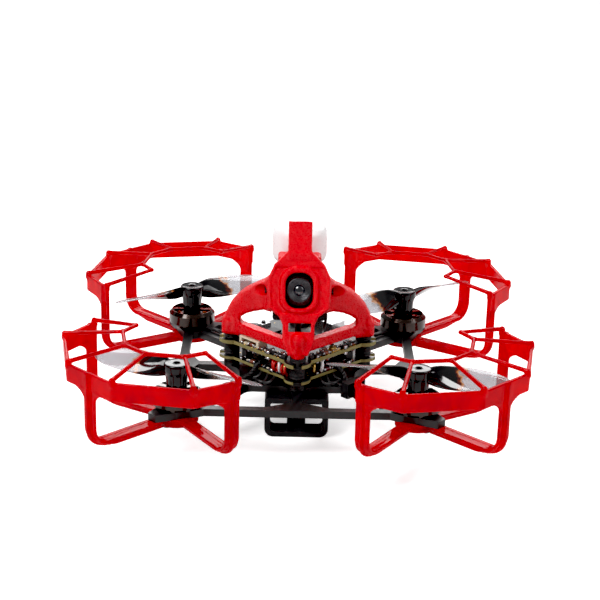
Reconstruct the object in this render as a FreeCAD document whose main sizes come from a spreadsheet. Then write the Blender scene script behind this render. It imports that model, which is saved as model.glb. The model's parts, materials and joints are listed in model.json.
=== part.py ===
import FreeCAD, Part
import math
import os

import Sketcher
from FreeCAD import Placement, Rotation, Vector

# A small two-blade racing quadcopter with prop guards, as a parametric document in millimetres.
# The origin is on the underside of the carbon plate, midway between the four motor axes.
# +X runs from left to right seen from the front, -Y is forward and +Z is up.

os.makedirs("parts", exist_ok=True)

# Every driving dimension: alias, value in millimetres or degrees, what it is.
DIMENSIONS = [
    ("motor_offset", 31.0, "motor axis to each centre plane"),
    ("plate_thick", 2.0, "carbon plate thickness"),
    ("bar_outer", 32.8, "centre plane to the outer face of a side bar"),
    ("bar_width", 2.4, "width of a side bar"),
    ("stem_half", 1.3, "half the width of a stem"),
    ("arm_half", 2.8, "half the width of a diagonal arm"),
    ("stack_pitch", 25.5, "side of the square bolt pattern of the stack"),
    ("stack_hole", 0.9, "radius of a stack hole in the carbon plate"),
    ("rim_top", 18.6, "height of the top edge of a guard rim"),
    ("rim_low", 13.8, "height of the lower edge of a guard rim"),
    ("guard_wall", 1.0, "wall thickness of a guard"),
    ("guard_apothem", 28.5, "motor axis to the outer face of a guard wall"),
    ("leg_width", 3.4, "width of a guard leg"),
    ("rib_width", 0.9, "width of a guard rib"),
    ("rib_proud", 0.8, "height of a rib above the leg it stiffens"),
    ("spoke_depth", 2.8, "depth of a guard spoke below the plate"),
    ("leg_bend", 5.0, "outer bend radius at the foot of a leg"),
    ("hub_thick", 2.0, "thickness of a guard hub"),
    ("hub_radius", 5.6, "radius of a guard hub"),
    ("web_height", 21.0, "height of the inner ring of the guard's web"),
    ("web_radius", 0.55, "radius of a web rod"),
    ("motor_screw_circle", 3.3, "radius of the motor's bolt circle"),
    ("motor_screw_shank", 0.7, "radius of a motor screw's shank"),
    ("bell_radius", 6.65, "outer radius of a motor bell"),
    ("bell_low", 3.3, "height of the lower edge of a bell"),
    ("bell_top", 6.8, "height of the top face of a bell"),
    ("bell_skirt", 0.7, "wall thickness of a bell's skirt"),
    ("shaft_radius", 0.75, "radius of a motor shaft"),
    ("shaft_play", 0.02, "radial running clearance of a shaft in its bearings"),
    ("bearing_radius", 2.0, "outer radius of a bearing"),
    ("stator_radius", 5.0, "outer radius of a stator"),
    ("prop_radius", 24.4, "motor axis to a propeller tip"),
    ("prop_top", 14.0, "height of the top of a propeller hub"),
    ("prop_plane", 12.2, "height of the middle of a blade"),
    ("prop_pitch", 42.0, "advance of the propeller in one turn"),
    ("board_side", 29.7, "side of a circuit board"),
    ("board_thick", 1.0, "thickness of the upper board"),
    ("lower_board", 4.5, "height of the underside of the lower board"),
    ("lower_thick", 0.8, "thickness of the lower board"),
    ("upper_board", 9.0, "height of the underside of the upper board"),
    ("ear_radius", 3.6, "radius of a board's ear round a damper"),
    ("damper_radius", 2.15, "outer radius of a rubber damper"),
    ("damper_neck", 1.65, "radius of a damper where a board holds it"),
    ("stack_top", 11.4, "height of the top of the dampers"),
    ("stack_screw", 0.7, "radius of a stack screw's shank"),
    ("face_tilt", 19.0, "lean of the canopy's face and of the camera from upright"),
    ("nose_y", 20.0, "distance in front of the centre of the face's lowest line"),
    ("nose_z", 14.0, "height of the face's lowest line"),
    ("lens_up", 15.6, "distance up the face to the lens axis"),
    ("lens_back", 7.3, "distance behind the face to the camera's tilt axis"),
    ("camera_half", 7.0, "half the width of the camera housing"),
    ("lens_radius", 3.3, "outer radius of the lens barrel"),
    ("cheek_inner", 7.2, "centre plane to the inside of a canopy cheek"),
    ("antenna_y", 8.0, "distance behind the centre of the antenna axis"),
    ("antenna_radius", 7.5, "radius of the antenna cap"),
    ("antenna_low", 29.6, "height of the underside of the antenna cap"),
    ("antenna_top", 40.4, "height of the top of the antenna cap"),
    ("tray_bottom", 11.0, "distance from the plate down to the tray's resting face"),
    ("tray_half", 8.5, "half the outer width of the battery tray"),
    ("tray_wall", 1.45, "wall thickness of the battery tray"),
    ("loop_length", 6.0, "length of one tray loop along the drone"),
    ("tray_front", 20.0, "centre plane to the outer end of a tray loop"),
]

QUARTER_TURNS = (0, 90, 180, 270)
CORNER_NAMES = ("front_right", "rear_right", "rear_left", "front_left")
CORNER_TURNS = (-90, 0, 90, 180)
CORNER_SIDES = ((1, -1), (1, 1), (-1, 1), (-1, -1))
MOTOR_SCREWS = 3
SCREW_ANGLE = 45.0
POST = "dim.stack_pitch / sqrt(2)"
POST_PLACES = ((POST, "0"), ("0", POST), (f"-{POST}", "0"), ("0", f"-{POST}"))

document = FreeCAD.newDocument("RacingDrone")
sheet = document.addObject("Spreadsheet::Sheet", "dim")
sub_parts = []


def fill_sheet():
    for row, (alias, size, meaning) in enumerate(DIMENSIONS, start=1):
        sheet.set(f"A{row}", alias)
        sheet.set(f"B{row}", str(size))
        sheet.set(f"C{row}", meaning)
        sheet.setAlias(f"B{row}", alias)
    document.recompute()


def value(expression):
    return float(sheet.evalExpression(str(expression)))


def sub_part(item, label):
    """Names an object as one physical piece of the drone."""
    item.Label = label
    sub_parts.append(item)
    return item


# ---------------------------------------------------------------- Part helpers


def place(item, x="0", y="0", z="0", rotation=None):
    item.Placement = Placement(Vector(value(x), value(y), value(z)), rotation or Rotation())
    for axis, expression in (("x", x), ("y", y), ("z", z)):
        item.setExpression(f"Placement.Base.{axis}", str(expression))
    return item


def solid(kind, name, sizes, x="0", y="0", z="0", rotation=None):
    """One Part primitive with its sizes and place bound to the sheet."""
    item = document.addObject(kind, name)
    for size, expression in sizes.items():
        item.setExpression(size, str(expression))
    return place(item, x, y, z, rotation)


def cylinder(name, radius, height, x="0", y="0", z="0", rotation=None):
    return solid("Part::Cylinder", name, {"Radius": radius, "Height": height}, x, y, z, rotation)


def block(name, size, centre, low, turn=0):
    """A box of size (x, y, z) turned about its upright axis through centre, standing on height low."""
    half_x = f"({size[0]}) / 2"
    half_y = f"({size[1]}) / 2"
    cosine = round(math.cos(math.radians(turn)), 6)
    sine = round(math.sin(math.radians(turn)), 6)
    x = f"{centre[0]} - ({half_x} * {cosine} - {half_y} * {sine})"
    y = f"{centre[1]} - ({half_x} * {sine} + {half_y} * {cosine})"
    sizes = {"Length": size[0], "Width": size[1], "Height": size[2]}
    return solid("Part::Box", name, sizes, x, y, low, Rotation(Vector(0, 0, 1), turn))


def group(name, items):
    item = document.addObject("Part::Compound", name)
    item.Links = items
    return item


def fuse(name, items):
    item = document.addObject("Part::MultiFuse", name)
    item.Shapes = items
    return item


def cut(name, base, tools):
    item = document.addObject("Part::Cut", name)
    item.Base = base
    item.Tool = tools[0] if len(tools) == 1 else group(f"{name}_tools", tools)
    return item


def placed_copy(form, name, x="0", y="0", z="0", turn=0):
    """A copy of a form, turned about the upright axis and moved."""
    return place(group(name, [form]), x, y, z, Rotation(Vector(0, 0, 1), turn))


def ring_of(form, name, count):
    """Copies of a form spaced evenly round the upright axis."""
    return [placed_copy(form, name, turn=360.0 * i / count) for i in range(count)]


def free_form(name, shape):
    item = document.addObject("Part::Feature", name)
    item.Shape = shape
    return item


# ---------------------------------------------------------------- PartDesign helpers


def new_body(name):
    return document.addObject("PartDesign::Body", name)


def new_sketch(body, plane, offset="0", rotation=None):
    """A sketch on one of the body's own origin planes, moved along its normal and turned in place."""
    sketch = body.newObject("Sketcher::SketchObject", f"{body.Name}_sketch")
    origin_plane = [f for f in body.Origin.OriginFeatures if f.Role == plane][0]
    sketch.AttachmentSupport = [(origin_plane, "")]
    sketch.MapMode = "FlatFace"
    sketch.AttachmentOffset = Placement(Vector(0, 0, value(offset)), rotation or Rotation())
    sketch.setExpression("AttachmentOffset.Base.z", str(offset))
    return sketch


def point_rules(geometry, point, x, y):
    """The two distances from the origin that place a point, each with its expression."""
    return [
        (Sketcher.Constraint("DistanceX", -1, 1, geometry, point, value(x)), x),
        (Sketcher.Constraint("DistanceY", -1, 1, geometry, point, value(y)), y),
    ]


def add_rules(sketch, rules):
    """Adds constraints in one step and binds those that have an expression."""
    numbers = sketch.addConstraint([rule for rule, expression in rules])
    for number, (rule, expression) in zip(numbers, rules):
        if expression is not None:
            sketch.setExpression(f"Constraints[{number}]", str(expression))


def corner_arc(before, corner, after, radius):
    """The tangent arc at a corner: its first and last points in drawing order, and the arc itself."""
    back = (before - corner).normalize()
    ahead = (after - corner).normalize()
    half_angle = back.getAngle(ahead) / 2
    first = corner + back * (radius / math.tan(half_angle))
    last = corner + ahead * (radius / math.tan(half_angle))
    centre = corner + (back + ahead).normalize() * (radius / math.sin(half_angle))
    turns_left = (corner - before).cross(after - corner).z > 0
    start, end = (first, last) if turns_left else (last, first)
    angles = [math.atan2(p.y - centre.y, p.x - centre.x) for p in (start, end)]
    if angles[1] < angles[0]:
        angles[1] += 2 * math.pi
    circle = Part.Circle(centre, Vector(0, 0, 1), radius)
    return first, last, Part.ArcOfCircle(circle, angles[0], angles[1]), turns_left


def draw_outline(sketch, corners):
    """A closed outline through corners (x, y) or, where the corner is rounded, (x, y, radius)."""
    points = [Vector(value(c[0]), value(c[1]), 0) for c in corners]
    count = len(corners)
    starts, ends, arcs = list(points), list(points), {}
    for i, corner in enumerate(corners):
        if len(corner) == 3:
            bend = corner_arc(points[i - 1], points[i], points[(i + 1) % count], value(corner[2]))
            ends[i], starts[i], arcs[i] = bend[0], bend[1], bend[2:]
    lines = []
    for i in range(count):
        lines.append(sketch.addGeometry(Part.LineSegment(starts[i], ends[(i + 1) % count])))
    rules = []
    for i, corner in enumerate(corners):
        before, after = lines[i - 1], lines[i]
        if i not in arcs:
            rules.append((Sketcher.Constraint("Coincident", before, 2, after, 1), None))
            rules += point_rules(after, 1, corner[0], corner[1])
            continue
        arc_shape, turns_left = arcs[i]
        arc = sketch.addGeometry(arc_shape)
        entry, leave = (1, 2) if turns_left else (2, 1)
        mark = sketch.addGeometry(Part.Point(points[i]), True)
        rules.append((Sketcher.Constraint("Tangent", before, 2, arc, entry), None))
        rules.append((Sketcher.Constraint("Tangent", arc, leave, after, 1), None))
        rules.append((Sketcher.Constraint("Radius", arc, value(corner[2])), corner[2]))
        rules.append((Sketcher.Constraint("PointOnObject", mark, 1, before), None))
        rules.append((Sketcher.Constraint("PointOnObject", mark, 1, after), None))
        rules += point_rules(mark, 1, corner[0], corner[1])
    add_rules(sketch, rules)


def draw_circle(sketch, radius, x="0", y="0"):
    centre = Vector(value(x), value(y), 0)
    circle = sketch.addGeometry(Part.Circle(centre, Vector(0, 0, 1), value(radius)))
    rule = (Sketcher.Constraint("Radius", circle, value(radius)), radius)
    add_rules(sketch, [rule] + point_rules(circle, 3, x, y))


def add_feature(body, kind, sketch, length=None, both_ways=False, reverse=False):
    """Adds a Pad or Pocket of the sketch; without a length it runs through everything."""
    feature = body.newObject(f"PartDesign::{kind}", f"{body.Name}_{kind.lower()}")
    feature.Profile = sketch
    feature.SideType = "Symmetric" if both_ways else "One side"
    feature.Reversed = reverse
    if length is None:
        feature.Type = "ThroughAll"
    else:
        feature.setExpression("Length", str(length))
    return feature


def revolve(body, corners):
    """A solid of revolution about the upright axis from an outline of (radius, height) corners."""
    sketch = new_sketch(body, "XZ_Plane")
    draw_outline(sketch, corners)
    feature = body.newObject("PartDesign::Revolution", f"{body.Name}_revolution")
    feature.Profile = sketch
    feature.ReferenceAxis = (sketch, ["V_Axis"])
    feature.Angle = 360
    return feature


def repeat_round(body, feature, count):
    """Repeats a feature evenly round the body's upright axis."""
    pattern = body.newObject("PartDesign::PolarPattern", f"{body.Name}_pattern")
    pattern.Originals = [feature]
    upright = [f for f in body.Origin.OriginFeatures if f.Role == "Z_Axis"][0]
    pattern.Axis = (upright, [""])
    pattern.Angle = 360
    pattern.Occurrences = count
    body.Tip = pattern
    return pattern


def motor_places():
    """The four motor axes, in the order of CORNER_NAMES."""
    return [(f"{x} * dim.motor_offset", f"{y} * dim.motor_offset") for x, y in CORNER_SIDES]


def circle_points(radius, count, first_angle=0.0):
    """Expressions for points spaced evenly on a circle about the origin."""
    points = []
    for i in range(count):
        angle = math.radians(first_angle + 360.0 * i / count)
        points.append((f"({radius}) * {math.cos(angle):.6f}", f"({radius}) * {math.sin(angle):.6f}"))
    return points


# ---------------------------------------------------------------- carbon frame plate

# Outer corner of the plate round one motor, from the motor axis towards the outside.
TAB_CORNERS = (
    (1.8, -7.0), (3.5, -3.5), (4.6, 0.0), (7.0, 5.0),
    (5.0, 7.0), (0.0, 4.6), (-3.5, 3.5), (-7.0, 1.8),
)
MOTOR_BORE = 2.1
SCREW_HOLE = 0.8


def plate_window(across):
    """The window between the front stem, the front bar and one arm; across is 1 or -1 for right or left."""
    inner = "(dim.bar_outer - dim.bar_width)"
    edge = "dim.arm_half * sqrt(2)"
    corners = (
        ("dim.stem_half", "22.8"),
        ("2.0", "15.9", "4.5"),
        ("13.4", "15.4", "3.0"),
        ("15.6", f"15.6 + {edge}"),
        ("24.4", f"24.4 + {edge}"),
        ("23.2", inner),
        ("8.0", inner, "3.0"),
        ("dim.stem_half", "27.2"),
    )
    return [(f"{across} * ({c[0]})", f"-({c[1]})") + c[2:] for c in corners]


def make_frame_plate():
    body = new_body("plate_body")
    outline = []
    for turn in QUARTER_TURNS:
        cosine, sine = round(math.cos(math.radians(turn))), round(math.sin(math.radians(turn)))
        for out_x, out_y in TAB_CORNERS:
            x, y = f"(dim.motor_offset + {out_x})", f"(dim.motor_offset + {out_y})"
            outline.append((f"{x} * {cosine} - {y} * {sine}", f"{x} * {sine} + {y} * {cosine}"))
    plate = new_sketch(body, "XY_Plane")
    draw_outline(plate, outline)
    add_feature(body, "Pad", plate, "dim.plate_thick")
    windows = new_sketch(body, "XY_Plane")
    draw_outline(windows, plate_window(1))
    draw_outline(windows, plate_window(-1))
    repeat_round(body, add_feature(body, "Pocket", windows, reverse=True), len(QUARTER_TURNS))
    holes = new_sketch(body, "XY_Plane")
    for x, y in POST_PLACES:
        draw_circle(holes, "dim.stack_hole", x, y)
    for (motor_x, motor_y), turn in zip(motor_places(), CORNER_TURNS):
        draw_circle(holes, MOTOR_BORE, motor_x, motor_y)
        for x, y in circle_points("dim.motor_screw_circle", MOTOR_SCREWS, SCREW_ANGLE + turn):
            draw_circle(holes, SCREW_HOLE, f"{motor_x} + {x}", f"{motor_y} + {y}")
    add_feature(body, "Pocket", holes, reverse=True)
    sub_part(body, "frame_plate")


# ---------------------------------------------------------------- prop guards

# Corners of a guard's wall as a fraction of its apothem, from its inner end round the outside.
WALL_CORNERS = ((0.821, -0.593), (1.049, -0.218), (0.923, 0.491))
WEB_CORNERS = ((11.0, -7.95), (14.0, -3.0), (12.4, 6.9))
LEG_ANGLES = (-32.5, 45.0, 122.5)
WINDOW_ANGLES = (6.25, 83.75)
WINDOW_HALF = 16.5
WALL_LOW = 8.0
BOSS_RADIUS = 0.9
BOSS_PROUD = 0.9


def mirrored_path(half):
    """Completes a path that is symmetrical about the guard's diagonal."""
    return list(half) + [(y, x) for x, y in reversed(half)]


def upright_plane(angle):
    """Turns the XZ plane so that its horizontal axis points at an angle."""
    return Rotation(Vector(0, 1, 0), angle)


def guard_shell():
    body = new_body("guard_shell")
    path = mirrored_path(WALL_CORNERS)
    outer, inner = "dim.guard_apothem", "(dim.guard_apothem - dim.guard_wall)"
    outside = [(f"{outer} * {x}", f"{outer} * {y}") for x, y in path]
    inside = [(f"{inner} * {x}", f"{inner} * {y}") for x, y in reversed(path)]
    wall = new_sketch(body, "XY_Plane", WALL_LOW)
    draw_outline(wall, outside + inside)
    add_feature(body, "Pad", wall, f"dim.rim_top - {WALL_LOW}")
    for angle in WINDOW_ANGLES:
        opening = new_sketch(body, "XZ_Plane", rotation=upright_plane(angle + 90))
        corners = (
            (f"{-WINDOW_HALF}", f"{WALL_LOW} - 1"),
            (f"{WINDOW_HALF}", f"{WALL_LOW} - 1"),
            (f"{WINDOW_HALF}", "dim.rim_low", "3.5"),
            (f"{-WINDOW_HALF}", "dim.rim_low", "3.5"),
        )
        draw_outline(opening, corners)
        add_feature(body, "Pocket", opening, "dim.guard_apothem * 1.2", reverse=True)
    for angle in LEG_ANGLES:
        leg = new_sketch(body, "XZ_Plane", rotation=upright_plane(angle))
        corners = (
            (outer, f"{WALL_LOW} + 1"),
            (inner, f"{WALL_LOW} + 1"),
            (inner, "0", "dim.leg_bend - dim.guard_wall"),
            ("4", "0"),
            ("4", "-dim.guard_wall"),
            (outer, "-dim.guard_wall", "dim.leg_bend"),
        )
        draw_outline(leg, corners)
        add_feature(body, "Pad", leg, "dim.leg_width", both_ways=True)
        rib = new_sketch(body, "XZ_Plane", rotation=upright_plane(angle))
        proud = f"({outer} + dim.rib_proud)"
        core = f"({outer} - dim.guard_wall / 2)"
        corners = (
            (proud, "dim.rim_top - 0.8"),
            (core, "dim.rim_top - 0.8"),
            (core, "-dim.guard_wall / 2", "dim.leg_bend - dim.guard_wall / 2"),
            ("4", "-dim.guard_wall / 2"),
            ("4", "-dim.spoke_depth"),
            ("20.5", "-dim.spoke_depth"),
            ("24.6", "-dim.guard_wall - 0.5"),
            (proud, "-dim.guard_wall - 0.5", "dim.leg_bend"),
        )
        draw_outline(rib, corners)
        add_feature(body, "Pad", rib, "dim.rib_width", both_ways=True)
    hub = new_sketch(body, "XY_Plane", "-dim.hub_thick")
    draw_circle(hub, "dim.hub_radius")
    add_feature(body, "Pad", hub, "dim.hub_thick")
    holes = new_sketch(body, "XY_Plane", "-dim.spoke_depth - 1")
    draw_circle(holes, MOTOR_BORE)
    for x, y in circle_points("dim.motor_screw_circle", MOTOR_SCREWS, SCREW_ANGLE):
        draw_circle(holes, SCREW_HOLE, x, y)
    add_feature(body, "Pocket", holes, "dim.spoke_depth + 2", reverse=True)
    seats = new_sketch(body, "XY_Plane", "-dim.spoke_depth - 1")
    for x, y in circle_points("dim.motor_screw_circle", MOTOR_SCREWS, SCREW_ANGLE):
        draw_circle(seats, SCREW_HOLE + 0.7, x, y)
    add_feature(body, "Pocket", seats, "dim.spoke_depth - dim.hub_thick + 1", reverse=True)
    return body


def guard_web():
    """Round rods from bosses on the rim to a raised inner ring that is open towards the middle."""
    apothem = value("dim.guard_apothem - dim.guard_wall / 2")
    radius = value("dim.web_radius")
    rim_top = value("dim.rim_top")
    boss_middle = rim_top + BOSS_PROUD / 2
    outer = [Vector(x * apothem, y * apothem, boss_middle) for x, y in mirrored_path(WALL_CORNERS)]
    ring = [Vector(x, y, value("dim.web_height")) for x, y in mirrored_path(WEB_CORNERS)]
    pieces = [Part.makeSphere(radius * 1.04, point) for point in ring]
    for start, end in list(zip(outer, ring)) + list(zip(ring, ring[1:])):
        pieces.append(Part.makeCylinder(radius, (end - start).Length, start, end - start))
    for point in outer:
        foot = Vector(point.x, point.y, rim_top - BOSS_PROUD)
        pieces.append(Part.makeCylinder(BOSS_RADIUS, 2 * BOSS_PROUD, foot))
    return free_form("guard_web", pieces[0].multiFuse(pieces[1:]).removeSplitter())


def make_guards():
    form = fuse("guard_form", [guard_shell(), guard_web()])
    for name, (x, y), turn in zip(CORNER_NAMES, motor_places(), CORNER_TURNS):
        sub_part(placed_copy(form, f"guard_{name}", x, y, turn=turn), f"prop_guard_{name}")


# ---------------------------------------------------------------- motors and propellers

BASE_RADIUS = 4.9
FLANGE_TOP = "3.0"
FLANGE_CUT = 3.5
SCALLOP_RADIUS = 1.6
SCALLOP_OUT = 0.4
TUBE_RADIUS = 2.4
TUBE_TOP = 5.8
TUBE_BORE = 1.2
BEARING_SEATS = (("dim.plate_thick", "3.3"), ("4.5", str(TUBE_TOP)))
LAMINATIONS = (3.7, 1.9)
COIL_LOW, COIL_TALL = 3.45, 2.4
COIL_LONG, COIL_WIDE = 1.15, 1.75
COIL_MIDDLE = 3.75
COIL_GAP = 0.02
TOOTH_WIDTH = 0.8
TEETH = 9
MAGNETS = 12
BELL_WINDOWS = 6
SHAFT_SHORT = 2.6


def motor_base():
    """The fixed flange and the tube that carries both bearings."""
    body = new_body("motor_base_form")
    (low_start, low_end), (high_start, high_end) = BEARING_SEATS
    revolve(body, (
        ("dim.bearing_radius", low_start),
        (BASE_RADIUS, low_start),
        (BASE_RADIUS, FLANGE_TOP),
        (TUBE_RADIUS, FLANGE_TOP),
        (TUBE_RADIUS, high_end),
        ("dim.bearing_radius", high_end),
        ("dim.bearing_radius", high_start),
        (TUBE_BORE, high_start),
        (TUBE_BORE, low_end),
        ("dim.bearing_radius", low_end),
    ))
    screws = new_sketch(body, "XY_Plane")
    screw_place = circle_points("dim.motor_screw_circle", 1, SCREW_ANGLE)[0]
    draw_circle(screws, "dim.motor_screw_shank", *screw_place)
    repeat_round(body, add_feature(body, "Pocket", screws, FLANGE_CUT, reverse=True), MOTOR_SCREWS)
    scallop = new_sketch(body, "XY_Plane")
    scallop_place = circle_points(BASE_RADIUS + SCALLOP_OUT, 1, SCREW_ANGLE + 180 / MOTOR_SCREWS)[0]
    draw_circle(scallop, SCALLOP_RADIUS, *scallop_place)
    repeat_round(body, add_feature(body, "Pocket", scallop, FLANGE_CUT, reverse=True), MOTOR_SCREWS)
    return body


def motor_bearings():
    bearings = []
    for low, high in BEARING_SEATS:
        outer = cylinder("bearing_outer", "dim.bearing_radius", f"{high} - {low}", z=low)
        inner = cylinder("bearing_bore", "dim.shaft_radius + dim.shaft_play", "10")
        bearings.append(cut("bearing", outer, [inner]))
    return group("bearing_pair", bearings)


def stator():
    """Laminated core with T-shaped teeth."""
    body = new_body("stator_form")
    low, tall = LAMINATIONS
    disc = new_sketch(body, "XY_Plane", low)
    draw_circle(disc, "dim.stator_radius")
    draw_circle(disc, TUBE_RADIUS)
    add_feature(body, "Pad", disc, tall)
    slot = new_sketch(body, "XY_Plane", low - 1)
    half_pitch = math.pi / TEETH
    inner, outer = 3.05, 4.45
    side = TOOTH_WIDTH / 2 / math.cos(half_pitch)
    slope = math.tan(half_pitch)
    corners = (
        (inner, inner * slope - side),
        (inner, side - inner * slope),
        (outer, side - outer * slope),
        (outer, -0.3),
        (5.5, -0.3),
        (5.5, 0.3),
        (outer, 0.3),
        (outer, outer * slope - side),
    )
    draw_outline(slot, corners)
    repeat_round(body, add_feature(body, "Pocket", slot, tall + 2, reverse=True), TEETH)
    return body


def coil_ring():
    """One copper coil round each tooth."""
    outer = block("coil_outer", (COIL_LONG, COIL_WIDE, COIL_TALL), (COIL_MIDDLE, "0"), COIL_LOW)
    hole = (3 * COIL_LONG, TOOTH_WIDTH + 2 * COIL_GAP, LAMINATIONS[1] + 2 * COIL_GAP)
    tooth = block("coil_tooth", hole, (COIL_MIDDLE, "0"), LAMINATIONS[0] - COIL_GAP)
    coil = placed_copy(cut("coil", outer, [tooth]), "coil_on_tooth", turn=180.0 / TEETH)
    return group("coil_ring", ring_of(coil, "coil_turned", TEETH))


def motor_bell():
    """The turning bell: skirt, chamfered top with windows between its spokes, and hub on the shaft."""
    body = new_body("bell_form")
    inner = "(dim.bell_radius - dim.bell_skirt)"
    under = "(dim.bell_top - 0.65)"
    revolve(body, (
        ("dim.shaft_radius", f"{under} - 0.2"),
        ("1.6", f"{under} - 0.2"),
        ("1.6", under),
        (f"{inner} - 0.5", under),
        (inner, f"{under} - 0.4"),
        (inner, "dim.bell_low"),
        ("dim.bell_radius", "dim.bell_low"),
        ("dim.bell_radius", "dim.bell_top - 0.9"),
        ("dim.bell_radius - 0.9", "dim.bell_top"),
        ("2.3", "dim.bell_top"),
        ("2.3", "dim.bell_top + 0.2"),
        ("dim.shaft_radius", "dim.bell_top + 0.2"),
    ))
    window = new_sketch(body, "XY_Plane", "dim.bell_top + 1")
    corners = (
        ("2.5", "-0.8", "0.3"), ("5.5", "-2.15", "0.5"),
        ("5.5", "2.15", "0.5"), ("2.5", "0.8", "0.3"),
    )
    draw_outline(window, corners)
    repeat_round(body, add_feature(body, "Pocket", window, "1.9"), BELL_WINDOWS)
    return body


def magnet_ring():
    magnet = block("magnet", (0.5, 2.3, 2.1), ("5.55", "0"), "3.55")
    return group("magnet_ring", ring_of(magnet, "magnet_turned", MAGNETS))


def blade_section(radius, handed):
    """A thin cambered closed section at a distance from the hub, square to the blade."""
    reach = value("dim.prop_radius")
    share = (radius - 2.0) / (reach - 2.0)
    chord = 4.2 + 13.5 * share * (1 - share) + 1.2 * share
    if share > 0.8:
        chord *= math.sqrt(max(0.02, 1 - ((share - 0.8) / 0.2) ** 2))
    thick = 1.0 - 0.55 * share
    camber = 0.06 * chord
    pitch = math.atan2(value("dim.prop_pitch"), 2 * math.pi * max(radius, 4.5))
    edges = []
    steps = 8
    for side in (1, -1):
        points = []
        for i in range(steps + 1):
            along = -math.cos(math.pi * i / steps) * side / 2
            bow = max(0.0, 1 - (2 * along) ** 2)
            height = camber * bow + side * 0.5 * thick * bow ** 0.6
            across = handed * (chord * along * math.cos(pitch) - height * math.sin(pitch))
            up = chord * along * math.sin(pitch) + height * math.cos(pitch)
            points.append(Vector(radius, across, value("dim.prop_plane") + up))
        curve = Part.BSplineCurve()
        curve.interpolate(points)
        edges.append(curve.toShape())
    return Part.Wire(edges)


def propeller(name, handed):
    """A two-blade propeller; handed is 1 when it turns anticlockwise seen from above, else -1."""
    reach = value("dim.prop_radius")
    stations = [2.0, 4.5, 8.0, 12.0, 16.0, 19.5, 22.0, 23.5, reach - 0.2]
    blade = Part.makeLoft([blade_section(r, handed) for r in stations], True, False)
    other = blade.copy()
    other.rotate(Vector(0, 0, 0), Vector(0, 0, 1), 180)
    top = value("dim.prop_top")
    foot = value("dim.bell_top + 0.2")
    profile = [
        Vector(value("dim.shaft_radius"), 0, foot), Vector(2.45, 0, foot), Vector(2.45, 0, 10.6),
        Vector(3.4, 0, 12.0), Vector(3.4, 0, top - 0.4), Vector(3.0, 0, top),
        Vector(value("dim.shaft_radius"), 0, top),
    ]
    hub = Part.Face(Part.makePolygon(profile + profile[:1])).revolve(Vector(0, 0, 0), Vector(0, 0, 1), 360)
    bore = Part.makeCylinder(value("dim.shaft_radius"), 20)
    return free_form(name, hub.fuse([blade, other]).cut(bore).removeSplitter())


PROPELLER_TURNS = {"front_right": -14.0, "rear_right": 36.0, "rear_left": 30.0, "front_left": -25.0}


def make_motors():
    forms = {
        "motor_base": motor_base(),
        "motor_stator": stator(),
        "motor_bell": motor_bell(),
        "motor_magnets": magnet_ring(),
        "motor_shaft": cylinder(
            "shaft_form", "dim.shaft_radius", f"dim.prop_top - {SHAFT_SHORT}", z="dim.plate_thick"
        ),
    }
    coils, bearings, screws = coil_ring(), motor_bearings(), motor_screw_form()
    propellers = {1: propeller("propeller_form_left", 1), -1: propeller("propeller_form_right", -1)}
    grouped = {"motor_windings": [], "motor_bearings": [], "motor_screws": []}
    for corner, (x, y), turn in zip(CORNER_NAMES, motor_places(), CORNER_TURNS):
        for kind, form in forms.items():
            sub_part(placed_copy(form, f"{kind}_{corner}", x, y, turn=turn), f"{kind}_{corner}")
        handed = 1 if corner in ("front_right", "rear_left") else -1
        turned = placed_copy(propellers[handed], f"propeller_{corner}", x, y, turn=PROPELLER_TURNS[corner])
        sub_part(turned, f"propeller_{corner}")
        grouped["motor_windings"].append(placed_copy(coils, f"coils_{corner}", x, y, turn=turn))
        grouped["motor_bearings"].append(placed_copy(bearings, f"bearings_{corner}", x, y, turn=turn))
        grouped["motor_screws"].append(placed_copy(screws, f"screws_{corner}", x, y, turn=turn))
    for label, items in grouped.items():
        sub_part(group(label, items), label)


def motor_screw_form():
    """Three screws from below, through the guard hub and the plate into the motor base."""
    shank = cylinder("motor_shank", "dim.motor_screw_shank", "dim.hub_thick + 2.9", z="-dim.hub_thick")
    head = cylinder("motor_head", "1.2", "0.75", z="-dim.hub_thick - 0.75")
    recess = cylinder("motor_drive", "0.45", "0.5", z="-dim.hub_thick - 0.85")
    screw = cut("motor_screw", fuse("motor_screw_solid", [shank, head]), [recess])
    places = circle_points("dim.motor_screw_circle", MOTOR_SCREWS, SCREW_ANGLE)
    return group("motor_screw_set", [placed_copy(screw, "motor_screw_placed", x, y) for x, y in places])


# ---------------------------------------------------------------- electronics stack


def make_board(label, low, thick):
    """A square board set cornerwise, with an open-ended ear round each damper."""
    square = block(f"{label}_square", ("dim.board_side", "dim.board_side", thick), ("0", "0"), low, 45)
    ears = [cylinder(f"{label}_ear", "dim.ear_radius", thick, x, y, low) for x, y in POST_PLACES]
    below = f"{low} - 1"
    openings = [cylinder(f"{label}_hole", "dim.damper_neck + 0.05", 4, x, y, below) for x, y in POST_PLACES]
    mouth = block(f"{label}_mouth", (6, 2.2, 4), (f"{POST} + 3", "0"), below)
    openings += ring_of(mouth, f"{label}_mouth_turned", len(QUARTER_TURNS))
    sub_part(cut(label, fuse(f"{label}_blank", [square] + ears), openings), label)


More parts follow.
